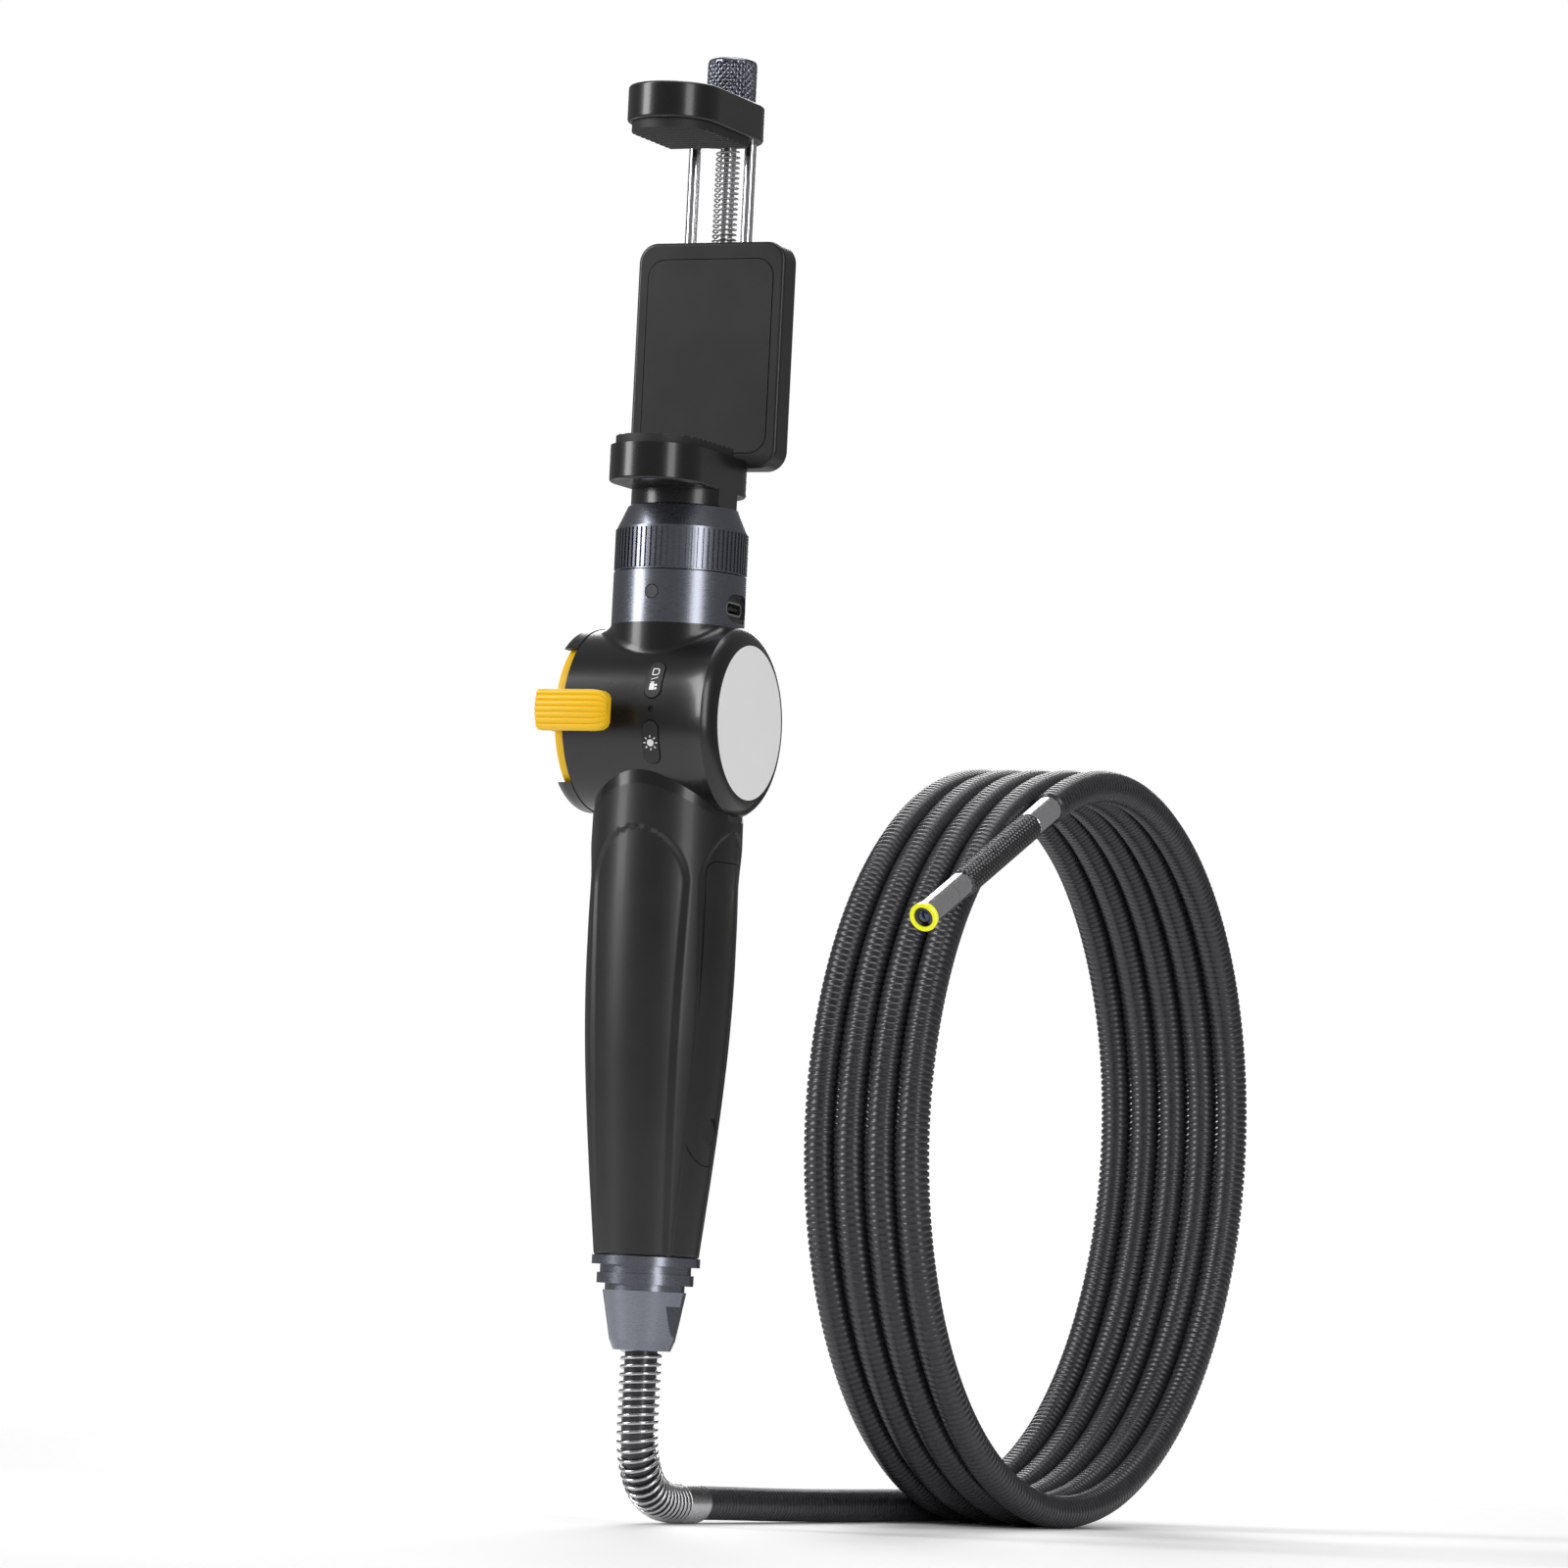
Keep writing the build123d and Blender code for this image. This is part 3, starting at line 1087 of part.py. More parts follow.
# ================================================================ write every piece
for piece, name in (
    (grip_body, "grip_body"),
    (battery_door, "battery_door"),
    (battery_cell, "battery_cell"),
    (battery_cradle, "battery_cradle"),
    (battery_contacts, "battery_contacts"),
    (head_housing, "head_housing"),
    (side_cap, "side_cap"),
    (label_disc, "label_disc"),
    (photo_button, "photo_button"),
    (light_button, "light_button"),
    (indicator_lens, "indicator_lens"),
    (main_board, "main_board"),
    (lever_cover, "lever_cover"),
    (thumb_lever, "thumb_lever"),
    (lever_shaft, "lever_shaft"),
    (shaft_bush, "shaft_bush"),
    (wire_pulley, "wire_pulley"),
    (front_wire, "front_wire"),
    (rear_wire, "rear_wire"),
    (collar, "collar"),
    (usb_shell, "usb_shell"),
    (usb_bezel, "usb_bezel"),
    (usb_tongue, "usb_tongue"),
    (power_button, "power_button"),
    (lock_ring, "lock_ring"),
    (clamp_base, "clamp_base"),
    (stem_snap_ring, "stem_snap_ring"),
    (plate_screws, "plate_screws"),
    (lower_jaw_pad, "lower_jaw_pad"),
    (back_plate, "back_plate"),
    (back_pad, "back_pad"),
    (clamp_nut, "clamp_nut"),
    (upper_jaw, "upper_jaw"),
    (upper_jaw_pad, "upper_jaw_pad"),
    (guide_rods, "guide_rods"),
    (clamp_screw, "clamp_screw"),
    (clamp_knob, "clamp_knob"),
    (clamp_spring, "clamp_spring"),
    (grip_end_ring, "grip_end_ring"),
    (gland_nut, "gland_nut"),
    (hose_run, "hose_run"),
    (bend_guard, "bend_guard"),
    (guard_ferrule, "guard_ferrule"),
    (hose_coil, "hose_coil"),
    (tip_ferrule, "tip_ferrule"),
    (head_sleeve, "head_sleeve"),
    (camera_shell, "camera_shell"),
    (light_ring, "light_ring"),
    (camera_lens, "camera_lens"),
):
    save(piece, name)
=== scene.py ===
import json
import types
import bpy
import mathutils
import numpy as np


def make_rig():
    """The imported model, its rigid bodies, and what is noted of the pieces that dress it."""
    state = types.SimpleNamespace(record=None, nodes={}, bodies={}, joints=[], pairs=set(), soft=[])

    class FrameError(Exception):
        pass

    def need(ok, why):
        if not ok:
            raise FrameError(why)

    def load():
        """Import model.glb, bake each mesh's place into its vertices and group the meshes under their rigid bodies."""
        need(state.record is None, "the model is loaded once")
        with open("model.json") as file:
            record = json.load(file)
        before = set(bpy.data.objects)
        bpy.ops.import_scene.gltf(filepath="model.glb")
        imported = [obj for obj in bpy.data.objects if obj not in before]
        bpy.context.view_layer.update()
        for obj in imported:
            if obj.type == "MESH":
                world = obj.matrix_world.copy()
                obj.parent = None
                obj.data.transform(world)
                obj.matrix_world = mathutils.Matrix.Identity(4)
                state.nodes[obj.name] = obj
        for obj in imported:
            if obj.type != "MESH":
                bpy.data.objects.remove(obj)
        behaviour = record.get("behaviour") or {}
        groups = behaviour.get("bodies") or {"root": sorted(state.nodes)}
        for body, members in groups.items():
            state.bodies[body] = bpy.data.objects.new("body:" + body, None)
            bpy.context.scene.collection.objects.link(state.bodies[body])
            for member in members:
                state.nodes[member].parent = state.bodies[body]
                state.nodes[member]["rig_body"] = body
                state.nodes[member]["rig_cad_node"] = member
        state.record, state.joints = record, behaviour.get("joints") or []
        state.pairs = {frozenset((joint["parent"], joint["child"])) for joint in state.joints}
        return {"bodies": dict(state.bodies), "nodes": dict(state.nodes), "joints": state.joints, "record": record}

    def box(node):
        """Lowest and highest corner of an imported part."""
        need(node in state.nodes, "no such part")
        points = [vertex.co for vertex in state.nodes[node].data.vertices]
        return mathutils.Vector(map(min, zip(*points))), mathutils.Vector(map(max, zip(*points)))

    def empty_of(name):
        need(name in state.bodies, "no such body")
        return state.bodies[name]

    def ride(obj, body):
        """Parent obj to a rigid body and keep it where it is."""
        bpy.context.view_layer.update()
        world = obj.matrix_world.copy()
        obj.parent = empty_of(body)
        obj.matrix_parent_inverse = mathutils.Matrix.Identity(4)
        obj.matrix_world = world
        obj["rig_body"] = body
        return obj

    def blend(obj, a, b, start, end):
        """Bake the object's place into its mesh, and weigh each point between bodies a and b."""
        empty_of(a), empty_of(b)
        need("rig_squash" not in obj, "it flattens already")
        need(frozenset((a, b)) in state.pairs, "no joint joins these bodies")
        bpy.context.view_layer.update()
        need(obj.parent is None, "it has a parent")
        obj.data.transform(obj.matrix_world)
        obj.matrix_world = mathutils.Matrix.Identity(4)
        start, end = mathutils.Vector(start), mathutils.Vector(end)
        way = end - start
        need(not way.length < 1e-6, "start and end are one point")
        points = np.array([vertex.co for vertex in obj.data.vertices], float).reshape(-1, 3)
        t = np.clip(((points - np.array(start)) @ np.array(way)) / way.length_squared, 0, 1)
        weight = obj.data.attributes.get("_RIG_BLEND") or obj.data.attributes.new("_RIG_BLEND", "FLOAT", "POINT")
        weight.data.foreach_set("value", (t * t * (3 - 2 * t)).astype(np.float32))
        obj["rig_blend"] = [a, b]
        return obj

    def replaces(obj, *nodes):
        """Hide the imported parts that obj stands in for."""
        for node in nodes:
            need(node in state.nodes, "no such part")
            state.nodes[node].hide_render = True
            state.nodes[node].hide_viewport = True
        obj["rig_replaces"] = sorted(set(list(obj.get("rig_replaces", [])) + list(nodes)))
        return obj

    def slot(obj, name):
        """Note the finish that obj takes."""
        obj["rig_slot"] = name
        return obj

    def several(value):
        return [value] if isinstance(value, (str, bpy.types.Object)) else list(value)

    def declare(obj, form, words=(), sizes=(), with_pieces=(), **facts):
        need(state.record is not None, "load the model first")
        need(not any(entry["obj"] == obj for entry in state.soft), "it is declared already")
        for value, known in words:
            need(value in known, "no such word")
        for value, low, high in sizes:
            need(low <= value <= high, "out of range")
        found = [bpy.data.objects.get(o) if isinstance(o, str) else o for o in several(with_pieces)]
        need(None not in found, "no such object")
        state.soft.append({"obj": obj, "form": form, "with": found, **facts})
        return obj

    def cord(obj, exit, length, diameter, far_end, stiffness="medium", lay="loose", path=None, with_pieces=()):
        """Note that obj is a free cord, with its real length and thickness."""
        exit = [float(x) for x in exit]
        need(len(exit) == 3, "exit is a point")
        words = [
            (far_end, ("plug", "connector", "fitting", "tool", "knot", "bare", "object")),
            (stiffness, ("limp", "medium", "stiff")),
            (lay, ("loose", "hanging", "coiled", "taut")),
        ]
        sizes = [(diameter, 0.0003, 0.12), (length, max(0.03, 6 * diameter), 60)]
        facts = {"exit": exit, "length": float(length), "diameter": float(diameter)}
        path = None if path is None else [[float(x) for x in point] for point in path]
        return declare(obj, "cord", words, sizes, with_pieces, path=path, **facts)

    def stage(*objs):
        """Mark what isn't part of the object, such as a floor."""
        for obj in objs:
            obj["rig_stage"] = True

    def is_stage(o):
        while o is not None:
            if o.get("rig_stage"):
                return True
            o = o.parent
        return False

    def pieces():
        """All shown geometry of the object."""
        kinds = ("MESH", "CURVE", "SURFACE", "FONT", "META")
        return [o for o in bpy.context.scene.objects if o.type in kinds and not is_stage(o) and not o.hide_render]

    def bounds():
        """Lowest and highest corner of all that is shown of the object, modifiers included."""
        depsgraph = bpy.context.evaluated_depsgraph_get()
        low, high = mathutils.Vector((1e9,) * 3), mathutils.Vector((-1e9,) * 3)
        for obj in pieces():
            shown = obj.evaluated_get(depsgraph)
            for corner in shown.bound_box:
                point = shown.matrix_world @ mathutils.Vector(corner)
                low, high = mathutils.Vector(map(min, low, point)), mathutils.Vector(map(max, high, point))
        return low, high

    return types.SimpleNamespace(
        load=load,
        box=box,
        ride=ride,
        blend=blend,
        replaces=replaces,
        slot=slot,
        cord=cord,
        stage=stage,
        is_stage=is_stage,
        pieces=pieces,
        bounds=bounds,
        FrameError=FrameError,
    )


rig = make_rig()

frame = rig.load()

import json
import math

import bmesh
import bpy
from mathutils import Matrix, Vector

MM = 0.001
scene = bpy.context.scene
cad_low, cad_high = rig.bounds()


# ------------------------------------------------------------------ camera
def place_camera():
    """A long lens in front of the object and to its right, a little below the middle."""
    azimuth = math.radians(24.0)
    tilt = math.radians(4.28)
    roll = math.radians(2.8)
    level = Vector((math.cos(azimuth), math.sin(azimuth), 0))
    ahead = Vector((-math.sin(azimuth), math.cos(azimuth), 0))
    forward = ahead * math.cos(tilt) + Vector((0, 0, math.sin(tilt)))
    above = Vector((0, 0, math.cos(tilt))) - ahead * math.sin(tilt)
    right = level * math.cos(roll) + above * math.sin(roll)
    up = above * math.cos(roll) - level * math.sin(roll)
    bpy.ops.object.camera_add()
    camera = bpy.context.object
    turn = Matrix((right, up, -forward)).transposed().to_4x4()
    camera.matrix_world = Matrix.Translation(Vector((0.7326, -1.5764, -0.0640))) @ turn
    camera.data.sensor_width = 36.0
    camera.data.lens = 162.4
    camera.data.clip_start = 0.05
    scene.camera = camera


place_camera()


# ------------------------------------------------------------------ shader helpers
class Shade:
    """A value or vector inside one material's node tree, so that patterns read as sums."""

    def __init__(self, tree, socket):
        self.tree = tree
        self.socket = socket

    def node(self, kind, *inputs, out=0, **settings):
        """Adds a node of any kind, feeds its inputs in order and returns one output."""
        made = self.tree.nodes.new(kind)
        for name, value in settings.items():
            setattr(made, name, value)
        for place, value in enumerate(inputs):
            if value is None:
                continue
            if isinstance(value, Shade):
                self.tree.links.new(value.socket, made.inputs[place])
            else:
                made.inputs[place].default_value = value
        return Shade(self.tree, made.outputs[out])

    def maths(self, operation, *others):
        return self.node("ShaderNodeMath", self, *others, operation=operation)

    def __add__(self, other):
        return self.maths("ADD", other)

    __radd__ = __add__

    def __mul__(self, other):
        return self.maths("MULTIPLY", other)

    __rmul__ = __mul__

    def __sub__(self, other):
        return self.maths("SUBTRACT", other)

    def __rsub__(self, other):
        return self.node("ShaderNodeMath", other, self, operation="SUBTRACT")

    def smooth(self, low, high):
        """0 below low and 1 above high, with a soft step between."""
        return self.node("ShaderNodeMapRange", self, low, high, 0.0, 1.0, interpolation_type="SMOOTHSTEP")

    def mix(self, first, second):
        """first where this is 0 and second where it is 1, for colours."""
        made = self.tree.nodes.new("ShaderNodeMix")
        made.data_type = "RGBA"
        self.tree.links.new(self.socket, made.inputs[0])
        for place, value in ((6, first), (7, second)):
            if isinstance(value, Shade):
                self.tree.links.new(value.socket, made.inputs[place])
            else:
                made.inputs[place].default_value = (*value, 1.0)
        return Shade(self.tree, made.outputs[2])


class Paint:
    """A material with one principled shader and helpers for its patterns."""

    def __init__(self, name, color, roughness, metallic=0.0, coat=0.0):
        self.material = bpy.data.materials.new(name)
        self.material.use_nodes = True
        self.tree = self.material.node_tree
        self.shader = self.tree.nodes["Principled BSDF"]
        self.shader.inputs["Base Color"].default_value = (*color, 1.0)
        self.shader.inputs["Roughness"].default_value = roughness
        self.shader.inputs["Metallic"].default_value = metallic
        self.shader.inputs["Coat Weight"].default_value = coat
        self.shader.inputs["Coat Roughness"].default_value = 0.12
        place = self.tree.nodes.new("ShaderNodeTexCoord")
        self.place = Shade(self.tree, place.outputs["Object"])

    def noise(self, scale, detail=3.0, stretch=None):
        """Noise over the object, scale in features per metre, stretched if asked."""
        place = self.place
        if stretch:
            place = place.node("ShaderNodeVectorMath", place, Vector(stretch), operation="MULTIPLY")
        return place.node("ShaderNodeTexNoise", place, None, scale, detail)

    def set(self, name, value):
        self.tree.links.new(value.socket, self.shader.inputs[name])

    def bump(self, height, distance, strength=1.0):
        made = self.tree.nodes.new("ShaderNodeBump")
        made.inputs["Strength"].default_value = strength
        made.inputs["Distance"].default_value = distance
        self.tree.links.new(height.socket, made.inputs["Height"])
        self.tree.links.new(made.outputs["Normal"], self.shader.inputs["Normal"])


def plastic(name, color, roughness, coat, grain):
    """Moulded plastic or rubber: a fine grain and slightly uneven gloss."""
    paint = Paint(name, color, roughness, 0.0, coat)
    patch = paint.noise(60.0)
    paint.set("Roughness", patch * 0.10 + (roughness - 0.05))
    lighter = tuple(min(c * 1.25 + 0.001, c + 0.01) for c in color)
    paint.set("Base Color", patch.smooth(0.3, 0.7).mix(color, lighter))
    paint.bump(paint.noise(5200.0, 2.0), grain)
    return paint.material


def metal(name, color, roughness, scale, stretch):
    """Turned, drawn or anodised metal: fine lines round or along the piece."""
    paint = Paint(name, color, roughness, 1.0)
    lines = paint.noise(scale, 4.0, stretch)
    paint.set("Roughness", lines * 0.14 + (roughness - 0.07))
    paint.set("Base Color", lines.smooth(0.25, 0.75).mix(tuple(c * 0.86 for c in color), color))
    paint.bump(lines, 0.00001, 0.15)
    return paint.material


def hose_rubber():
    """Black hose jacket: worn slightly lighter in random patches."""
    color = (0.014, 0.0145, 0.017)
    paint = Paint("hose_black", color, 0.36, 0.0, 0.25)
    wear = paint.noise(900.0)
    paint.set("Base Color", wear.smooth(0.35, 0.75).mix(color, (0.028, 0.029, 0.034)))
    paint.set("Roughness", wear * 0.2 + 0.27)
    return paint.material


def lens_glass():
    """Dark coated lens with a blue bloom in soft random patches."""
    paint = Paint("lens_glass", (0.004, 0.008, 0.03), 0.04, 0.0, 1.0)
    bloom = paint.noise(260.0)
    paint.set("Base Color", bloom.smooth(0.35, 0.75).mix((0.003, 0.006, 0.018), (0.01, 0.05, 0.20)))
    return paint.material


def led_ring():
    """Yellow light ring, which glows a little."""
    paint = Paint("light_yellow", (0.86, 0.86, 0.02), 0.25, 0.0, 0.6)
    patch = paint.noise(500.0)
    paint.set("Emission Color", patch.smooth(0.2, 0.8).mix((0.80, 0.86, 0.01), (0.90, 0.90, 0.02)))
    paint.shader.inputs["Emission Strength"].default_value = 0.35
    return paint.material


FINISH = {
    "satin_black": plastic("satin_black", (0.0075, 0.0075, 0.0085), 0.38, 0.10, 0.000006),
    "gloss_black": plastic("gloss_black", (0.0045, 0.0045, 0.005), 0.28, 0.25, 0.000003),
    "label_white": plastic("label_white", (0.93, 0.93, 0.93), 0.45, 0.0, 0.000002),
    "button_rubber": plastic("button_rubber", (0.010, 0.010, 0.011), 0.50, 0.0, 0.000004),
    "clear_lens": plastic("clear_lens", (0.002, 0.002, 0.002), 0.15, 0.5, 0.000001),
    "board_green": plastic("board_green", (0.01, 0.12, 0.05), 0.4, 0.3, 0.000004),
    "lever_yellow": plastic("lever_yellow", (0.88, 0.52, 0.0), 0.42, 0.0, 0.000004),
    "steel": metal("steel", (0.62, 0.62, 0.63), 0.27, 900.0, (1.0, 1.0, 6.0)),
    "brass": metal("brass", (0.80, 0.60, 0.26), 0.30, 900.0, (1.0, 1.0, 6.0)),
    "cell_wrap": plastic("cell_wrap", (0.02, 0.12, 0.38), 0.35, 0.3, 0.000002),
    "gunmetal": metal("gunmetal", (0.235, 0.245, 0.285), 0.27, 700.0, (1.0, 1.0, 8.0)),
    "pad_rubber": plastic("pad_rubber", (0.012, 0.012, 0.013), 0.58, 0.0, 0.000008),
    "chrome": metal("chrome", (0.80, 0.80, 0.82), 0.12, 900.0, (1.0, 1.0, 1.0)),
    "hose_black": hose_rubber(),
    "guard_steel": metal("guard_steel", (0.60, 0.60, 0.61), 0.20, 900.0, (1.0, 1.0, 1.0)),
    "light_yellow": led_ring(),
    "lens_glass": lens_glass(),
    "braid": metal("braid", (0.11, 0.11, 0.115), 0.28, 2600.0, (1.0, 1.0, 1.0)),
    "button_grey": plastic("button_grey", (0.05, 0.05, 0.055), 0.42, 0.1, 0.000003),
}
ICON_WHITE = plastic("icon_white", (0.85, 0.85, 0.85), 0.5, 0.0, 0.000001)


# ------------------------------------------------------------------ mesh helpers
def finish_piece(obj, slot_name, body, *nodes, material=None):
    """Gives a modelled piece its finish, its body and the CAD nodes that it stands for."""
    obj.data.materials.clear()
    obj.data.materials.append(material or FINISH[slot_name])
    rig.slot(obj, slot_name)
    if body:
        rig.ride(obj, body)
    if nodes:
        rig.replaces(obj, *nodes)
    return obj


def new_object(name, mesh, smooth=True):
    obj = bpy.data.objects.new(name, mesh)
    scene.collection.objects.link(obj)
    for face in mesh.polygons:
        face.use_smooth = smooth
    return obj


def from_rings(name, rings, close_ends=True, loop=False):
    """A skin over rings of points, each ring the same length; loop joins the last to the first."""
    mesh = bmesh.new()
    rows = [[mesh.verts.new(point) for point in ring] for ring in rings]
    count = len(rows[0])
    pairs = list(zip(rows, rows[1:]))
    if loop:
        pairs.append((rows[-1], rows[0]))
    for lower, upper in pairs:
        for k in range(count):
            following = (k + 1) % count
            mesh.faces.new((lower[k], lower[following], upper[following], upper[k]))
    if close_ends and not loop:
        mesh.faces.new(list(reversed(rows[0])))
        mesh.faces.new(rows[-1])
    bmesh.ops.recalc_face_normals(mesh, faces=mesh.faces)
    data = bpy.data.meshes.new(name)
    mesh.to_mesh(data)
    mesh.free()
    return new_object(name, data)


def sharpen(obj, degrees=35.0):
    """Smooth shading, with hard edges where the faces turn more than this."""
    bpy.ops.object.select_all(action="DESELECT")
    obj.select_set(True)
    bpy.context.view_layer.objects.active = obj
    bpy.ops.object.shade_smooth_by_angle(angle=math.radians(degrees))
    return obj


def soften(obj, width, segments=3, degrees=40.0):
    """Rounds a piece's sharp edges."""
    bevel = obj.modifiers.new("Bevel", "BEVEL")
    bevel.width = width
    bevel.segments = segments
    bevel.limit_method = "ANGLE"
    bevel.angle_limit = math.radians(degrees)
    bevel.harden_normals = False
    return obj


def carry(node):
    """Shows a CAD piece as it is, with its finish."""
    obj = frame["nodes"][node]
    slot_name = SLOT_OF[node]
    obj.data.materials.clear()
    obj.data.materials.append(FINISH[slot_name])
    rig.slot(obj, slot_name)
    return obj


def smoothstep(value):
    value = max(0.0, min(1.0, value))
    return value * value * (3.0 - 2.0 * value)


SLOT_OF = {entry["node"]: entry["material_slot"] for entry in frame["record"]["subparts"]}

# ------------------------------------------------------------------ hose
HOSE_R = 4.3
ROUTE = [
    (0.0, 0.0, -71.6),
    (0.0, -0.25, -86.4),
    (0.0, 0.0, -101.35),
    (0.0, 10.5, -111.85),
    (0.4, 37.5, -111.85),
    (3.9, 91.0, -112.7),
    (6.5, 135.0, -112.7),
    (8.2, 178.4, -112.7),
]
COIL_YAW = math.radians(3.17)
COIL_R = 96.3
COIL_PITCH = 8.7
COIL_END_ANGLE = 115.0
COIL_END_DRIFT = 1.0
RUN_DIR = Vector((math.sin(COIL_YAW), math.cos(COIL_YAW), 0))
COIL_AXIS = Vector((math.cos(COIL_YAW), -math.sin(COIL_YAW), 0))
COIL_CENTRE = Vector(ROUTE[-1]) + Vector((0, 0, COIL_R))
COIL_SWEEP = 4 * 360.0 + COIL_END_ANGLE + 90.0
COIL_POINTS = 110


def coil_point(swept, radius):
    """A point of the coil after that many degrees from the bottom, in millimetres."""
    angle = math.radians(swept - 90.0)
    drift = COIL_END_DRIFT * smoothstep((swept - COIL_SWEEP + 60.0) / 60.0)
    across = COIL_PITCH * swept / 360.0 + drift
    flat = RUN_DIR * (radius * math.cos(angle)) + Vector((0, 0, radius * math.sin(angle)))
    return COIL_CENTRE + COIL_AXIS * across + flat


def hose_line():
    """The hose's own line: its route, then the coil turn by turn, as points in metres."""
    step = COIL_SWEEP / COIL_POINTS
    outer = COIL_R / math.cos(math.radians(step / 2))
    points = [Vector(point) for point in ROUTE]
    for k in range(COIL_POINTS):
        points.append(coil_point((k + 0.5) * step, outer))
    points.append(coil_point(COIL_SWEEP, COIL_R))
    curve = bpy.data.curves.new("hose_line", "CURVE")
    curve.dimensions = "3D"
    curve.resolution_u = 14
    spline = curve.splines.new("NURBS")
    spline.points.add(len(points) - 1)
    for place, point in zip(spline.points, points):
        place.co = (*(point * MM), 1.0)
    spline.order_u = 3
    spline.use_endpoint_u = True
    holder = bpy.data.objects.new("hose_line", curve)
    mesh = bpy.data.meshes.new_from_object(holder)
    line = [vertex.co.copy() for vertex in mesh.vertices]
    bpy.data.meshes.remove(mesh)
    bpy.data.objects.remove(holder)
    bpy.data.curves.remove(curve)
    return line


def even_steps(line, step):
    """The same line with points a set distance apart, starting and ending where it does."""
    lengths = [0.0]
    for before, after in zip(line, line[1:]):
        lengths.append(lengths[-1] + (after - before).length)
    count = max(2, round(lengths[-1] / step))
    spaced, at = [], 0
    for k in range(count + 1):
        wanted = lengths[-1] * k / count
        while at < len(line) - 2 and lengths[at + 1] < wanted:
            at += 1
        span = lengths[at + 1] - lengths[at]
        part = (wanted - lengths[at]) / span if span > 0 else 0.0
        spaced.append(line[at].lerp(line[at + 1], min(1.0, part)))
    return spaced


def frames_along(points, start_side):
    """Point, side and up at each point of a line, without twist."""
    side = start_side.normalized()
    placed = []
    for k, point in enumerate(points):
        ahead = points[min(k + 1, len(points) - 1)] - points[max(k - 1, 0)]
        ahead.normalize()
        side = (side - ahead * side.dot(ahead)).normalized()
        placed.append((point, side, ahead.cross(side)))
    return placed


def tube(name, placed, radius_at, sides):
    """A closed tube along a framed line; radius_at gives the radius at each step."""
    rings = []
    for k, (point, side, up) in enumerate(placed):
        radius = radius_at(k)
        ring = []
        for j in range(sides):
            turn = 2 * math.pi * j / sides
            ring.append(point + side * (radius * math.cos(turn)) + up * (radius * math.sin(turn)))
        rings.append(ring)
    return from_rings(name, rings)


GUARD_END_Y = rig.box("guard_ferrule")[0].y
GUARD_OVERLAP = 0.001
GUARDED_X = 0.003
HOSE_LINE = hose_line()
RING_PITCH = 1.75
STEPS_PER_RING = 4


def make_hose():
    line = even_steps(HOSE_LINE, RING_PITCH / STEPS_PER_RING * MM)
    placed = frames_along(line, Vector((1, 0, 0)))
    crown, groove = HOSE_R * MM, (HOSE_R - 0.60) * MM
    guarded = sum(1 for point in line if point.y < GUARD_END_Y and point.x < GUARDED_X)

    def radius_at(k):
        if k < guarded:
            return (HOSE_R - 0.3) * MM
        return groove if k % STEPS_PER_RING == 0 else crown

    hose = tube("hose", placed, radius_at, 14)
    finish_piece(hose, "hose_black", "handle", "hose_run", "hose_coil")
    return hose, line


hose, hose_points = make_hose()
hose_length = sum((b - a).length for a, b in zip(hose_points, hose_points[1:]))
print("hose length", round(hose_length, 4))


def make_bend_guard():
    """The close-wound spring that guards the hose where it leaves the gland."""
    wire_r = 0.48
    winding_r = 5.15 - wire_r
    turn_pitch = 2.0
    per_turn = 20
    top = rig.box("gland_nut")[0].z + 0.0008
    steps = even_steps(HOSE_LINE, turn_pitch / per_turn * MM)
    core = [point for point in steps if point.y < GUARD_END_Y + GUARD_OVERLAP]
    core = [point for point in core if point.z < top and point.x < GUARDED_X]
    placed = frames_along(core, Vector((1, 0, 0)))
    winding = []
    for k, (point, side, up) in enumerate(placed):
        turn = 2 * math.pi * k / per_turn
        winding.append(point + (side * math.cos(turn) + up * math.sin(turn)) * (winding_r * MM))
    spring = tube("bend_guard_spring", frames_along(winding, Vector((0, 0, 1))), lambda k: wire_r * MM, 8)
    return finish_piece(spring, "guard_steel", "handle", "bend_guard")


guard_spring = make_bend_guard()

# ------------------------------------------------------------------ tip
TIP_START = coil_point(COIL_SWEEP, COIL_R) * MM
END_TURN = math.radians(COIL_END_ANGLE)
TIP_DIR = RUN_DIR * (-math.sin(END_TURN)) + Vector((0, 0, math.cos(END_TURN)))
TIP_UP = TIP_DIR.cross(COIL_AXIS)
TIP_FERRULE = 14.0
BEND_LENGTH = 42.0
BEND_JOINTS = 5
LINK = BEND_LENGTH / BEND_JOINTS
TIP_CHAIN = ["handle"] + [f"link_{k}" for k in range(1, BEND_JOINTS)] + ["camera_head"]


def along_tip(distance):
    return TIP_START + TIP_DIR * (distance * MM)


def tip_ring(distance, radii):
    """A ring round the tip's axis; radii holds a radius for each side, in millimetres."""
    ring = []
    for j, radius in enumerate(radii):
        turn = 2 * math.pi * j / len(radii)
        out = COIL_AXIS * math.cos(turn) + TIP_UP * math.sin(turn)
        ring.append(along_tip(distance) + out * (radius * MM))
    return ring


def braid_radius(distance, turn):
    """Strands that cross over and under each other round the sleeve."""
    strands = 12
    lean = 2 * math.pi / 7.0
    first = math.sin(strands * turn + strands * lean * distance / 2.6)
    second = math.sin(strands * turn - strands * lean * distance / 2.6)
    return 3.52 + 0.24 * max(first, second)


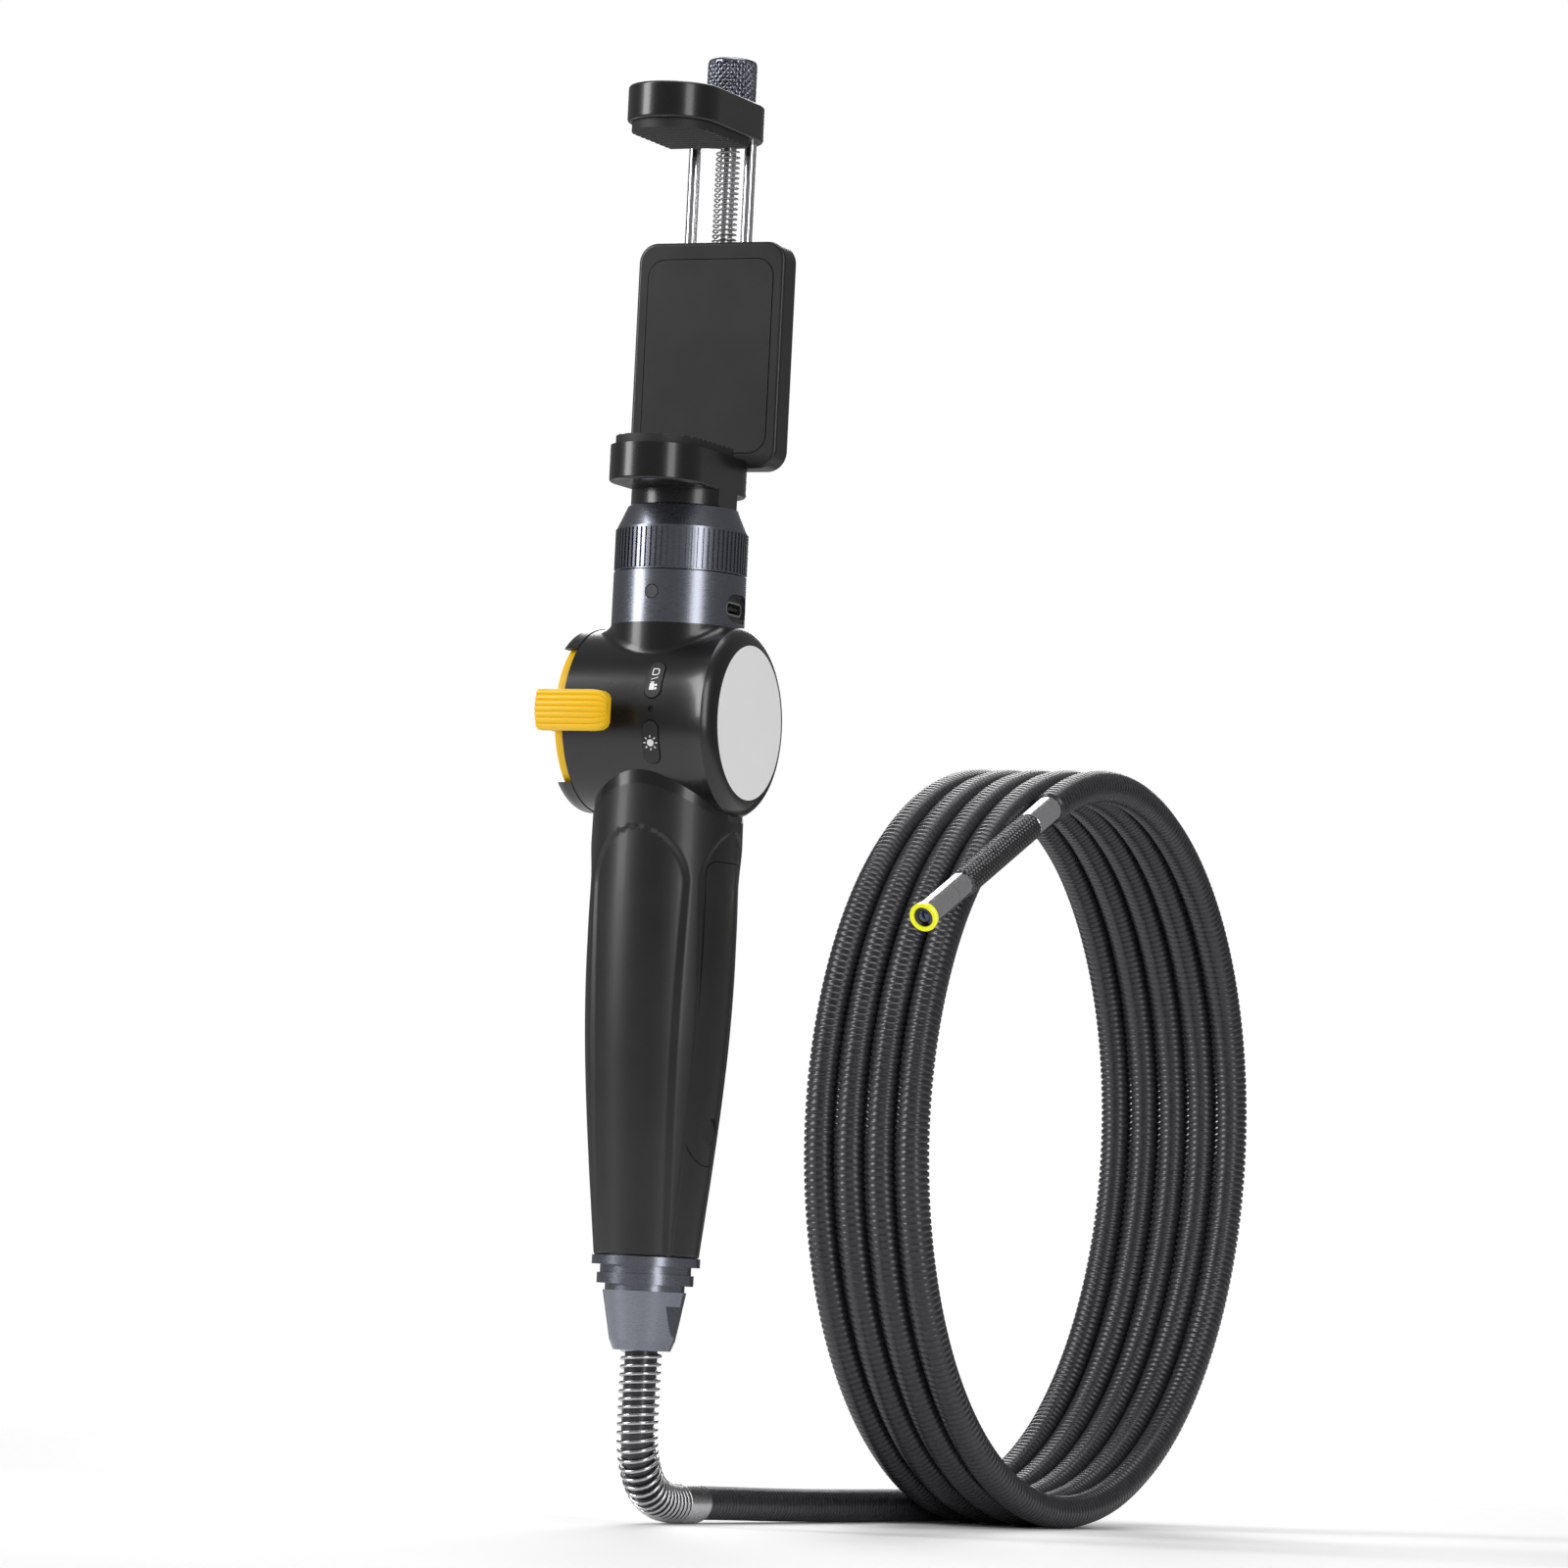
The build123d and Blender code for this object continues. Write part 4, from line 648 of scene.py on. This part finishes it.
def make_braid():
    sides = 96
    for k in range(BEND_JOINTS):
        first = TIP_FERRULE + LINK * k
        steps = 40
        rings = []
        for step in range(steps + 1):
            distance = first + LINK * step / steps
            radii = [braid_radius(distance, 2 * math.pi * j / sides) for j in range(sides)]
            rings.append(tip_ring(distance, radii))
        inner = [tip_ring(first + LINK * step / 6, [3.0] * sides) for step in range(6, -1, -1)]
        sleeve = from_rings(f"braid_{k}", rings + inner, loop=True)
        nodes = [f"braid_sleeve_{k}"]
        if k == BEND_JOINTS - 1:
            nodes.append(f"braid_sleeve_{k + 1}")
        finish_piece(sleeve, "braid", None, *nodes)
        start, end = along_tip(first + 0.4), along_tip(first + LINK - 0.4)
        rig.blend(sleeve, TIP_CHAIN[k], TIP_CHAIN[k + 1], start, end)
        yield sleeve


braids = list(make_braid())


def tip_turned(name, outline, slot_name, sides=64):
    """A turned piece on the tip's axis. The outline is (distance, radius) pairs, in millimetres."""
    rings = [tip_ring(distance, [radius] * sides) for distance, radius in outline]
    piece = sharpen(from_rings(name, rings))
    return finish_piece(piece, slot_name, "camera_head")


HEAD_END = TIP_FERRULE + BEND_LENGTH + 8.5 + 14.0
light_ring = tip_turned(
    "light_ring_glow",
    [
        (HEAD_END, 3.45), (HEAD_END + 0.1, 3.75), (HEAD_END + 1.2, 3.80), (HEAD_END + 1.5, 3.55),
        (HEAD_END + 1.5, 2.75), (HEAD_END + 1.1, 2.60), (HEAD_END + 0.2, 2.60), (HEAD_END + 0.2, 2.0),
    ],
    "light_yellow",
)
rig.replaces(light_ring, "light_ring")
lens_bezel = tip_turned(
    "lens_bezel",
    [
        (HEAD_END + 0.1, 2.55), (HEAD_END + 1.0, 2.55), (HEAD_END + 0.8, 1.7),
        (HEAD_END + 0.5, 1.65), (HEAD_END + 0.3, 1.0),
    ],
    "clear_lens",
)
dome = [(HEAD_END + 0.45, 1.62)]
for step in range(8):
    rise = step * math.pi / 16
    dome.append((HEAD_END + 0.45 + 0.6 * math.sin(rise), 1.6 * math.cos(rise)))
camera_dome = tip_turned("lens_dome", dome, "lens_glass")
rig.replaces(camera_dome, "camera_lens")
hose_pieces = [guard_spring, light_ring, lens_bezel, camera_dome, *braids]
CARRIED_ON_HOSE = ("guard_ferrule", "tip_ferrule", "head_sleeve", "camera_shell")
hose_pieces += [frame["nodes"][node] for node in CARRIED_ON_HOSE]
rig.cord(
    hose,
    exit=hose_points[0],
    length=hose_length,
    diameter=2 * HOSE_R * MM,
    far_end="tool",
    stiffness="stiff",
    lay="coiled",
    path=hose_points[::6] + [hose_points[-1]],
    with_pieces=hose_pieces,
)

# ------------------------------------------------------------------ grip
HEAD_Z = 80.0
HEAD_R = 22.6
SKIRT = 2.2
SCOOP_TOP = 53.0
GRIP_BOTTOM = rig.box("grip_body")[0].z / MM
GRIP_SHAPE = [(GRIP_BOTTOM, 13.4), (-20.2, 16.45), (4.0, 18.2), (28.0, 18.75), (66.0, 18.4)]


def grip_radius(z):
    """The grip's outline, a smooth curve through its few shape points."""
    for k in range(len(GRIP_SHAPE) - 1):
        (low, at_low), (high, at_high) = GRIP_SHAPE[k], GRIP_SHAPE[k + 1]
        if z <= high or k == len(GRIP_SHAPE) - 2:
            before = GRIP_SHAPE[max(k - 1, 0)]
            after = GRIP_SHAPE[min(k + 2, len(GRIP_SHAPE) - 1)]
            slope_low = (at_high - before[1]) / (high - before[0])
            slope_high = (after[1] - at_low) / (after[0] - low)
            span = high - low
            t = max(0.0, min(1.0, (z - low) / span))
            rise = (2 * t**3 - 3 * t**2 + 1) * at_low + (t**3 - 2 * t**2 + t) * span * slope_low
            return rise + (3 * t**2 - 2 * t**3) * at_high + (t**3 - t**2) * span * slope_high
    return GRIP_SHAPE[-1][1]


def scoop(z, turn, facing, top_half, bottom_half, depth):
    """How far the surface is scooped in, on the side that faces that way."""
    offset = (turn - facing + math.pi) % (2 * math.pi) - math.pi
    if abs(offset) > math.pi / 2:
        return 0.0
    across = abs(grip_radius(z) * math.sin(offset))
    arch = 14.0
    part = (z - GRIP_BOTTOM) / (SCOOP_TOP - arch - GRIP_BOTTOM)
    half = bottom_half + (top_half - bottom_half) * min(1.0, part)
    if z > SCOOP_TOP - arch:
        up = min(1.0, (z - SCOOP_TOP + arch) / arch)
        half *= math.sqrt(max(0.0, 1.0 - up * up))
    if z > SCOOP_TOP:
        return 0.0
    return depth * smoothstep((half - across) / 1.5)


def grip_surface(z, turn):
    """The radius of the grip's skin at that height and angle, scoops included."""
    inward = 0.0
    for facing in (-math.pi / 2, math.pi / 2):
        inward = max(inward, scoop(z, turn, facing, 13.2, 10.4, 0.75))
    for facing in (0.0, math.pi):
        inward = max(inward, scoop(z, turn, facing, 11.8, 8.8, 0.75))
    return grip_radius(z) - inward


def saddle_height(turn, gap):
    """Where the skin meets the round head at that angle."""
    y = grip_radius(60.0) * math.sin(turn)
    head = HEAD_R + SKIRT + gap
    return HEAD_Z - math.sqrt(head * head - y * y)


def door_outline(half, top, bottom, corner):
    """The battery door's outline in (y, z): square above with round corners, round below."""
    points = []
    for centre_y, start in ((half - corner, 0.0), (-half + corner, math.pi / 2)):
        for k in range(7):
            turn = start + math.pi / 2 * k / 6
            points.append((centre_y + corner * math.cos(turn), top - corner + corner * math.sin(turn)))
    for k in range(25):
        turn = math.pi + math.pi * k / 24
        points.append((half * math.cos(turn), bottom + half + half * math.sin(turn)))
    return points


def prism(name, outline, x_low, x_high):
    """A solid along X with that outline in (y, z), in millimetres."""
    rings = [[Vector((x, y, z)) * MM for y, z in outline] for x in (x_low, x_high)]
    return from_rings(name, rings)


def cut(obj, cutter, operation="DIFFERENCE"):
    """Cuts one solid with another, as a finished mesh, and removes the cutter."""
    modifier = obj.modifiers.new("Cut", "BOOLEAN")
    modifier.operation = operation
    modifier.object = cutter
    modifier.solver = "EXACT"
    bpy.context.view_layer.objects.active = obj
    bpy.ops.object.select_all(action="DESELECT")
    obj.select_set(True)
    bpy.ops.object.modifier_apply(modifier=modifier.name)
    bpy.data.objects.remove(cutter)
    return obj


def make_grip():
    sides, rows = 260, 230
    rings = []
    for row in range(rows + 1):
        ring = []
        for j in range(sides):
            turn = 2 * math.pi * j / sides
            z = GRIP_BOTTOM + (saddle_height(turn, 0.05) - GRIP_BOTTOM) * row / rows
            radius = grip_surface(z, turn)
            if row == 0:
                radius -= 0.25
            ring.append(Vector((radius * math.cos(turn), radius * math.sin(turn), z)) * MM)
        rings.append(ring)
    for row in range(12, -1, -1):
        ring = []
        for j in range(sides):
            turn = 2 * math.pi * j / sides
            z = GRIP_BOTTOM + (saddle_height(turn, 0.05) - GRIP_BOTTOM) * row / 12
            radius = grip_radius(z) - 2.8
            ring.append(Vector((radius * math.cos(turn), radius * math.sin(turn), z)) * MM)
        rings.append(ring)
    skin = from_rings("grip_skin", rings, loop=True)
    door_low, door_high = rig.box("battery_door")
    gap = 0.18
    outline = door_outline(
        door_high.y / MM + gap, door_high.z / MM + gap, door_low.z / MM - gap, 3.0
    )
    cut(skin, prism("door_cutter", outline, 4.0, 30.0))
    sharpen(skin, 30.0)
    return finish_piece(skin, "satin_black", "handle", "grip_body")


make_grip()

# ------------------------------------------------------------------ thumb lever
LEVER_LEFT = -22.2
LEVER_THICK = 2.4
LEVER_DISC_R = 21.4


def make_lever():
    """A disc in the end of the head, and a ribbed paddle that stands in front of the head."""
    sides = 120
    outline = [(LEVER_LEFT, LEVER_DISC_R - 0.3), (LEVER_LEFT + 0.3, LEVER_DISC_R)]
    lever_right = LEVER_LEFT + LEVER_THICK
    outline += [(lever_right - 0.3, LEVER_DISC_R), (lever_right, LEVER_DISC_R - 0.3)]
    rings = []
    for x, radius in outline:
        ring = []
        for j in range(sides):
            turn = 2 * math.pi * j / sides
            ring.append(Vector((x, radius * math.cos(turn), HEAD_Z + radius * math.sin(turn))) * MM)
        rings.append(ring)
    disc = sharpen(from_rings("lever_disc", rings), 30.0)
    finish_piece(disc, "lever_yellow", "lever", "thumb_lever")
    # the ribbed face: ribs run along X and stand highest near the middle
    front, back, half = -33.0, -28.4, 5.0
    ribs = 7
    section = [(back, -half), (front + 1.9, -half)]
    samples = ribs * 6
    for k in range(1, samples):
        z = -half + 2 * half * k / samples
        swell = abs(z - 0.6) / (half + 0.6)
        rib = 0.42 * abs(math.sin(math.pi * ribs * k / samples)) ** 0.6
        section.append((front + 0.42 + 1.5 * swell**1.6 - rib, z))
    section += [(front + 1.9, half), (back, half)]
    rings = []
    ends = [(LEVER_LEFT, 0.90), (LEVER_LEFT + 0.5, 1.0), (-7.5, 1.0)]
    ends += [(-5.2, 0.95), (-3.9, 0.80), (-3.2, 0.58)]
    middle_y = (front + back) / 2
    for x, scale in ends:
        rings.append([
            Vector((x, middle_y + (y - middle_y) * scale, HEAD_Z + z * scale)) * MM for y, z in section
        ])
    paddle = sharpen(from_rings("lever_paddle", rings), 50.0)
    finish_piece(paddle, "lever_yellow", "lever")
    arm_half = 4.6
    arm_outline = [(-18.0, -arm_half), (-18.0, arm_half), (-31.0, arm_half), (-31.0, -arm_half)]
    rings = [
        [Vector((x, y, HEAD_Z + z)) * MM for y, z in arm_outline]
        for x in (LEVER_LEFT + 0.02, LEVER_LEFT + LEVER_THICK - 0.02)
    ]
    arm = soften(from_rings("lever_arm", rings), 0.3 * MM)
    finish_piece(arm, "lever_yellow", "lever")


make_lever()


# ------------------------------------------------------------------ knurled knob
def make_knob():
    low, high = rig.box("clamp_knob")
    centre = (low + high) / 2
    bottom, top, radius = low.z / MM, high.z / MM, (high.x - low.x) / 2 / MM
    sides, rows, lines = 160, 56, 20
    knurl_low, knurl_high = bottom + 0.8, top - 1.4
    rings = []
    edge = [(bottom, radius - 0.6), (bottom + 0.5, radius - 0.1)]
    for z, ring_radius in edge:
        rings.append([(ring_radius, z)] * sides)
    for row in range(rows + 1):
        z = knurl_low + (knurl_high - knurl_low) * row / rows
        ring = []
        for j in range(sides):
            turn = 2 * math.pi * j / sides
            lean = 2 * math.pi * (z - knurl_low) / 1.9
            first = 0.5 + 0.5 * math.cos(lines * turn + lean)
            second = 0.5 + 0.5 * math.cos(lines * turn - lean)
            ring.append((radius - 0.42 * max(first, second) ** 5, z))
        rings.append(ring)
    for z, ring_radius in ((top - 1.1, radius - 0.05), (top - 0.5, radius - 0.2), (top, radius - 0.9)):
        rings.append([(ring_radius, z)] * sides)
    placed = []
    for ring in rings:
        placed.append([
            Vector((
                centre.x / MM + r * math.cos(2 * math.pi * j / sides),
                centre.y / MM + r * math.sin(2 * math.pi * j / sides),
                z,
            )) * MM
            for j, (r, z) in enumerate(ring)
        ])
    knob = sharpen(from_rings("knob", placed), 50.0)
    return finish_piece(knob, "gunmetal", "knob_screw", "clamp_knob")


make_knob()


# ------------------------------------------------------------------ marks on the buttons
BUTTON_X = 4.3
BUTTON_FACE_R = HEAD_R + 0.3 + 0.03


def on_button(across, along, angle):
    """A point on a button's face: across it, and along it from its middle, in millimetres."""
    turn = math.radians(angle) + along / BUTTON_FACE_R
    return Vector((
        BUTTON_X + across,
        -BUTTON_FACE_R * math.cos(turn),
        HEAD_Z + BUTTON_FACE_R * math.sin(turn),
    )) * MM


def mark(name, shapes, angle, body):
    """Thin printed shapes on a button; each shape is a list of (across, along) points."""
    mesh = bmesh.new()
    for shape in shapes:
        mesh.faces.new([mesh.verts.new(on_button(x, y, angle)) for x, y in shape])
    data = bpy.data.meshes.new(name)
    mesh.to_mesh(data)
    mesh.free()
    obj = new_object(name, data, smooth=False)
    obj.data.materials.append(ICON_WHITE)
    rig.slot(obj, "label_white")
    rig.ride(obj, body)
    return obj


def bar(x0, y0, x1, y1, half):
    """A short straight stroke."""
    run = Vector((x1 - x0, y1 - y0))
    side = Vector((-run.y, run.x)).normalized() * half
    return [
        (x0 + side.x, y0 + side.y), (x1 + side.x, y1 + side.y),
        (x1 - side.x, y1 - side.y), (x0 - side.x, y0 - side.y),
    ]


def disc_shape(x, y, radius, sides=16):
    turns = [2 * math.pi * k / sides for k in range(sides)]
    return [(x + radius * math.cos(turn), y + radius * math.sin(turn)) for turn in turns]


def make_marks():
    # a small film camera and a small stills camera, with a stroke between them
    film = [
        [(-0.95, -2.9), (0.35, -2.9), (0.35, -1.2), (-0.95, -1.2)],
        [(-0.6, -1.1), (0.0, -1.1), (0.3, -0.7), (-0.9, -0.7)],
        disc_shape(0.75, -2.5, 0.34),
        disc_shape(0.75, -1.6, 0.34),
    ]
    still_camera = [
        bar(-0.8, 1.2, -0.8, 2.9, 0.14),
        bar(0.8, 1.5, 0.8, 2.6, 0.14),
        bar(-0.8, 1.2, 0.4, 1.2, 0.14),
        bar(-0.8, 2.9, 0.4, 2.9, 0.14),
        bar(0.4, 1.2, 0.8, 1.5, 0.14),
        bar(0.4, 2.9, 0.8, 2.6, 0.14),
    ]
    stroke = [bar(-0.9, -0.1, 0.9, 0.5, 0.1)]
    mark("photo_marks", film + still_camera + stroke, 22.0, "photo_key")
    sun = [disc_shape(0.0, 0.0, 0.90, 24)]
    for k in range(8):
        turn = 2 * math.pi * k / 8
        across, along = math.cos(turn), math.sin(turn)
        sun.append(bar(1.30 * across, 1.30 * along, 1.85 * across, 1.85 * along, 0.15))
    mark("light_marks", sun, -18.0, "light_key")


make_marks()

# ------------------------------------------------------------------ pieces shown as the model has them
SHOWN = [
    "battery_door", "battery_cell", "battery_cradle", "battery_contacts", "head_housing", "side_cap",
    "label_disc", "photo_button", "light_button", "indicator_lens", "main_board", "lever_cover",
    "lever_shaft", "shaft_bush", "wire_pulley", "front_wire", "rear_wire", "collar", "usb_shell",
    "usb_bezel", "usb_tongue", "power_button", "lock_ring", "clamp_base", "stem_snap_ring", "plate_screws",
    "lower_jaw_pad", "back_plate", "back_pad", "clamp_nut", "upper_jaw", "upper_jaw_pad",
    "guide_rods", "clamp_screw", "clamp_spring", "grip_end_ring", "gland_nut", "guard_ferrule",
    "tip_ferrule", "head_sleeve", "camera_shell",
]
SHOWN += [f"vertebra_{k}" for k in range(1, BEND_JOINTS)]
for shown in SHOWN:
    carry(shown)

# ------------------------------------------------------------------ floor and light
bpy.ops.mesh.primitive_plane_add(size=8.0, location=(0, 0, cad_low.z))
floor = bpy.context.object
floor.name = "floor"
floor_paint = Paint("floor", (0.86, 0.86, 0.86), 0.6)
floor_paint.set("Roughness", floor_paint.noise(3.0) * 0.1 + 0.6)
away = floor_paint.place.node("ShaderNodeVectorMath", floor_paint.place, operation="LENGTH", out=1)
floor_paint.set("Alpha", 1.0 - away.smooth(0.35, 0.95))
floor.data.materials.append(floor_paint.material)
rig.stage(floor)


def area_light(name, place, aim, size, power):
    bpy.ops.object.light_add(type="AREA", location=place)
    light = bpy.context.object
    light.name = name
    light.data.shape = "RECTANGLE"
    light.data.size = size[0]
    light.data.size_y = size[1]
    light.data.energy = power
    light.rotation_euler = (Vector(aim) - Vector(place)).to_track_quat("-Z", "Y").to_euler()
    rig.stage(light)


area_light("key_left", (-1.1, -0.9, 0.7), (0, 0, 0.05), (0.5, 1.2), 17.0)
area_light("fill_right", (1.3, -0.9, 0.5), (0, 0.05, 0.0), (0.5, 1.3), 9.5)
area_light("top", (0.1, 0.1, 1.5), (0, 0.1, 0), (1.0, 1.0), 10.0)
area_light("back_rim", (-0.5, 1.3, 0.8), (0, 0.1, 0), (0.6, 1.2), 10.0)

world = scene.world or bpy.data.worlds.new("World")
scene.world = world
world.use_nodes = True
backdrop = world.node_tree.nodes["Background"]
backdrop.inputs["Color"].default_value = (1.0, 1.0, 1.0, 1.0)
seen = Shade(world.node_tree, world.node_tree.nodes.new("ShaderNodeLightPath").outputs["Is Camera Ray"])
world.node_tree.links.new((seen * 0.78 + 0.22).socket, backdrop.inputs["Strength"])
scene.view_settings.view_transform = "Standard"

low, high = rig.bounds()
with open("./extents.json", "w") as out:
    json.dump({"cad": [list(cad_low), list(cad_high)], "visual": [list(low), list(high)]}, out)
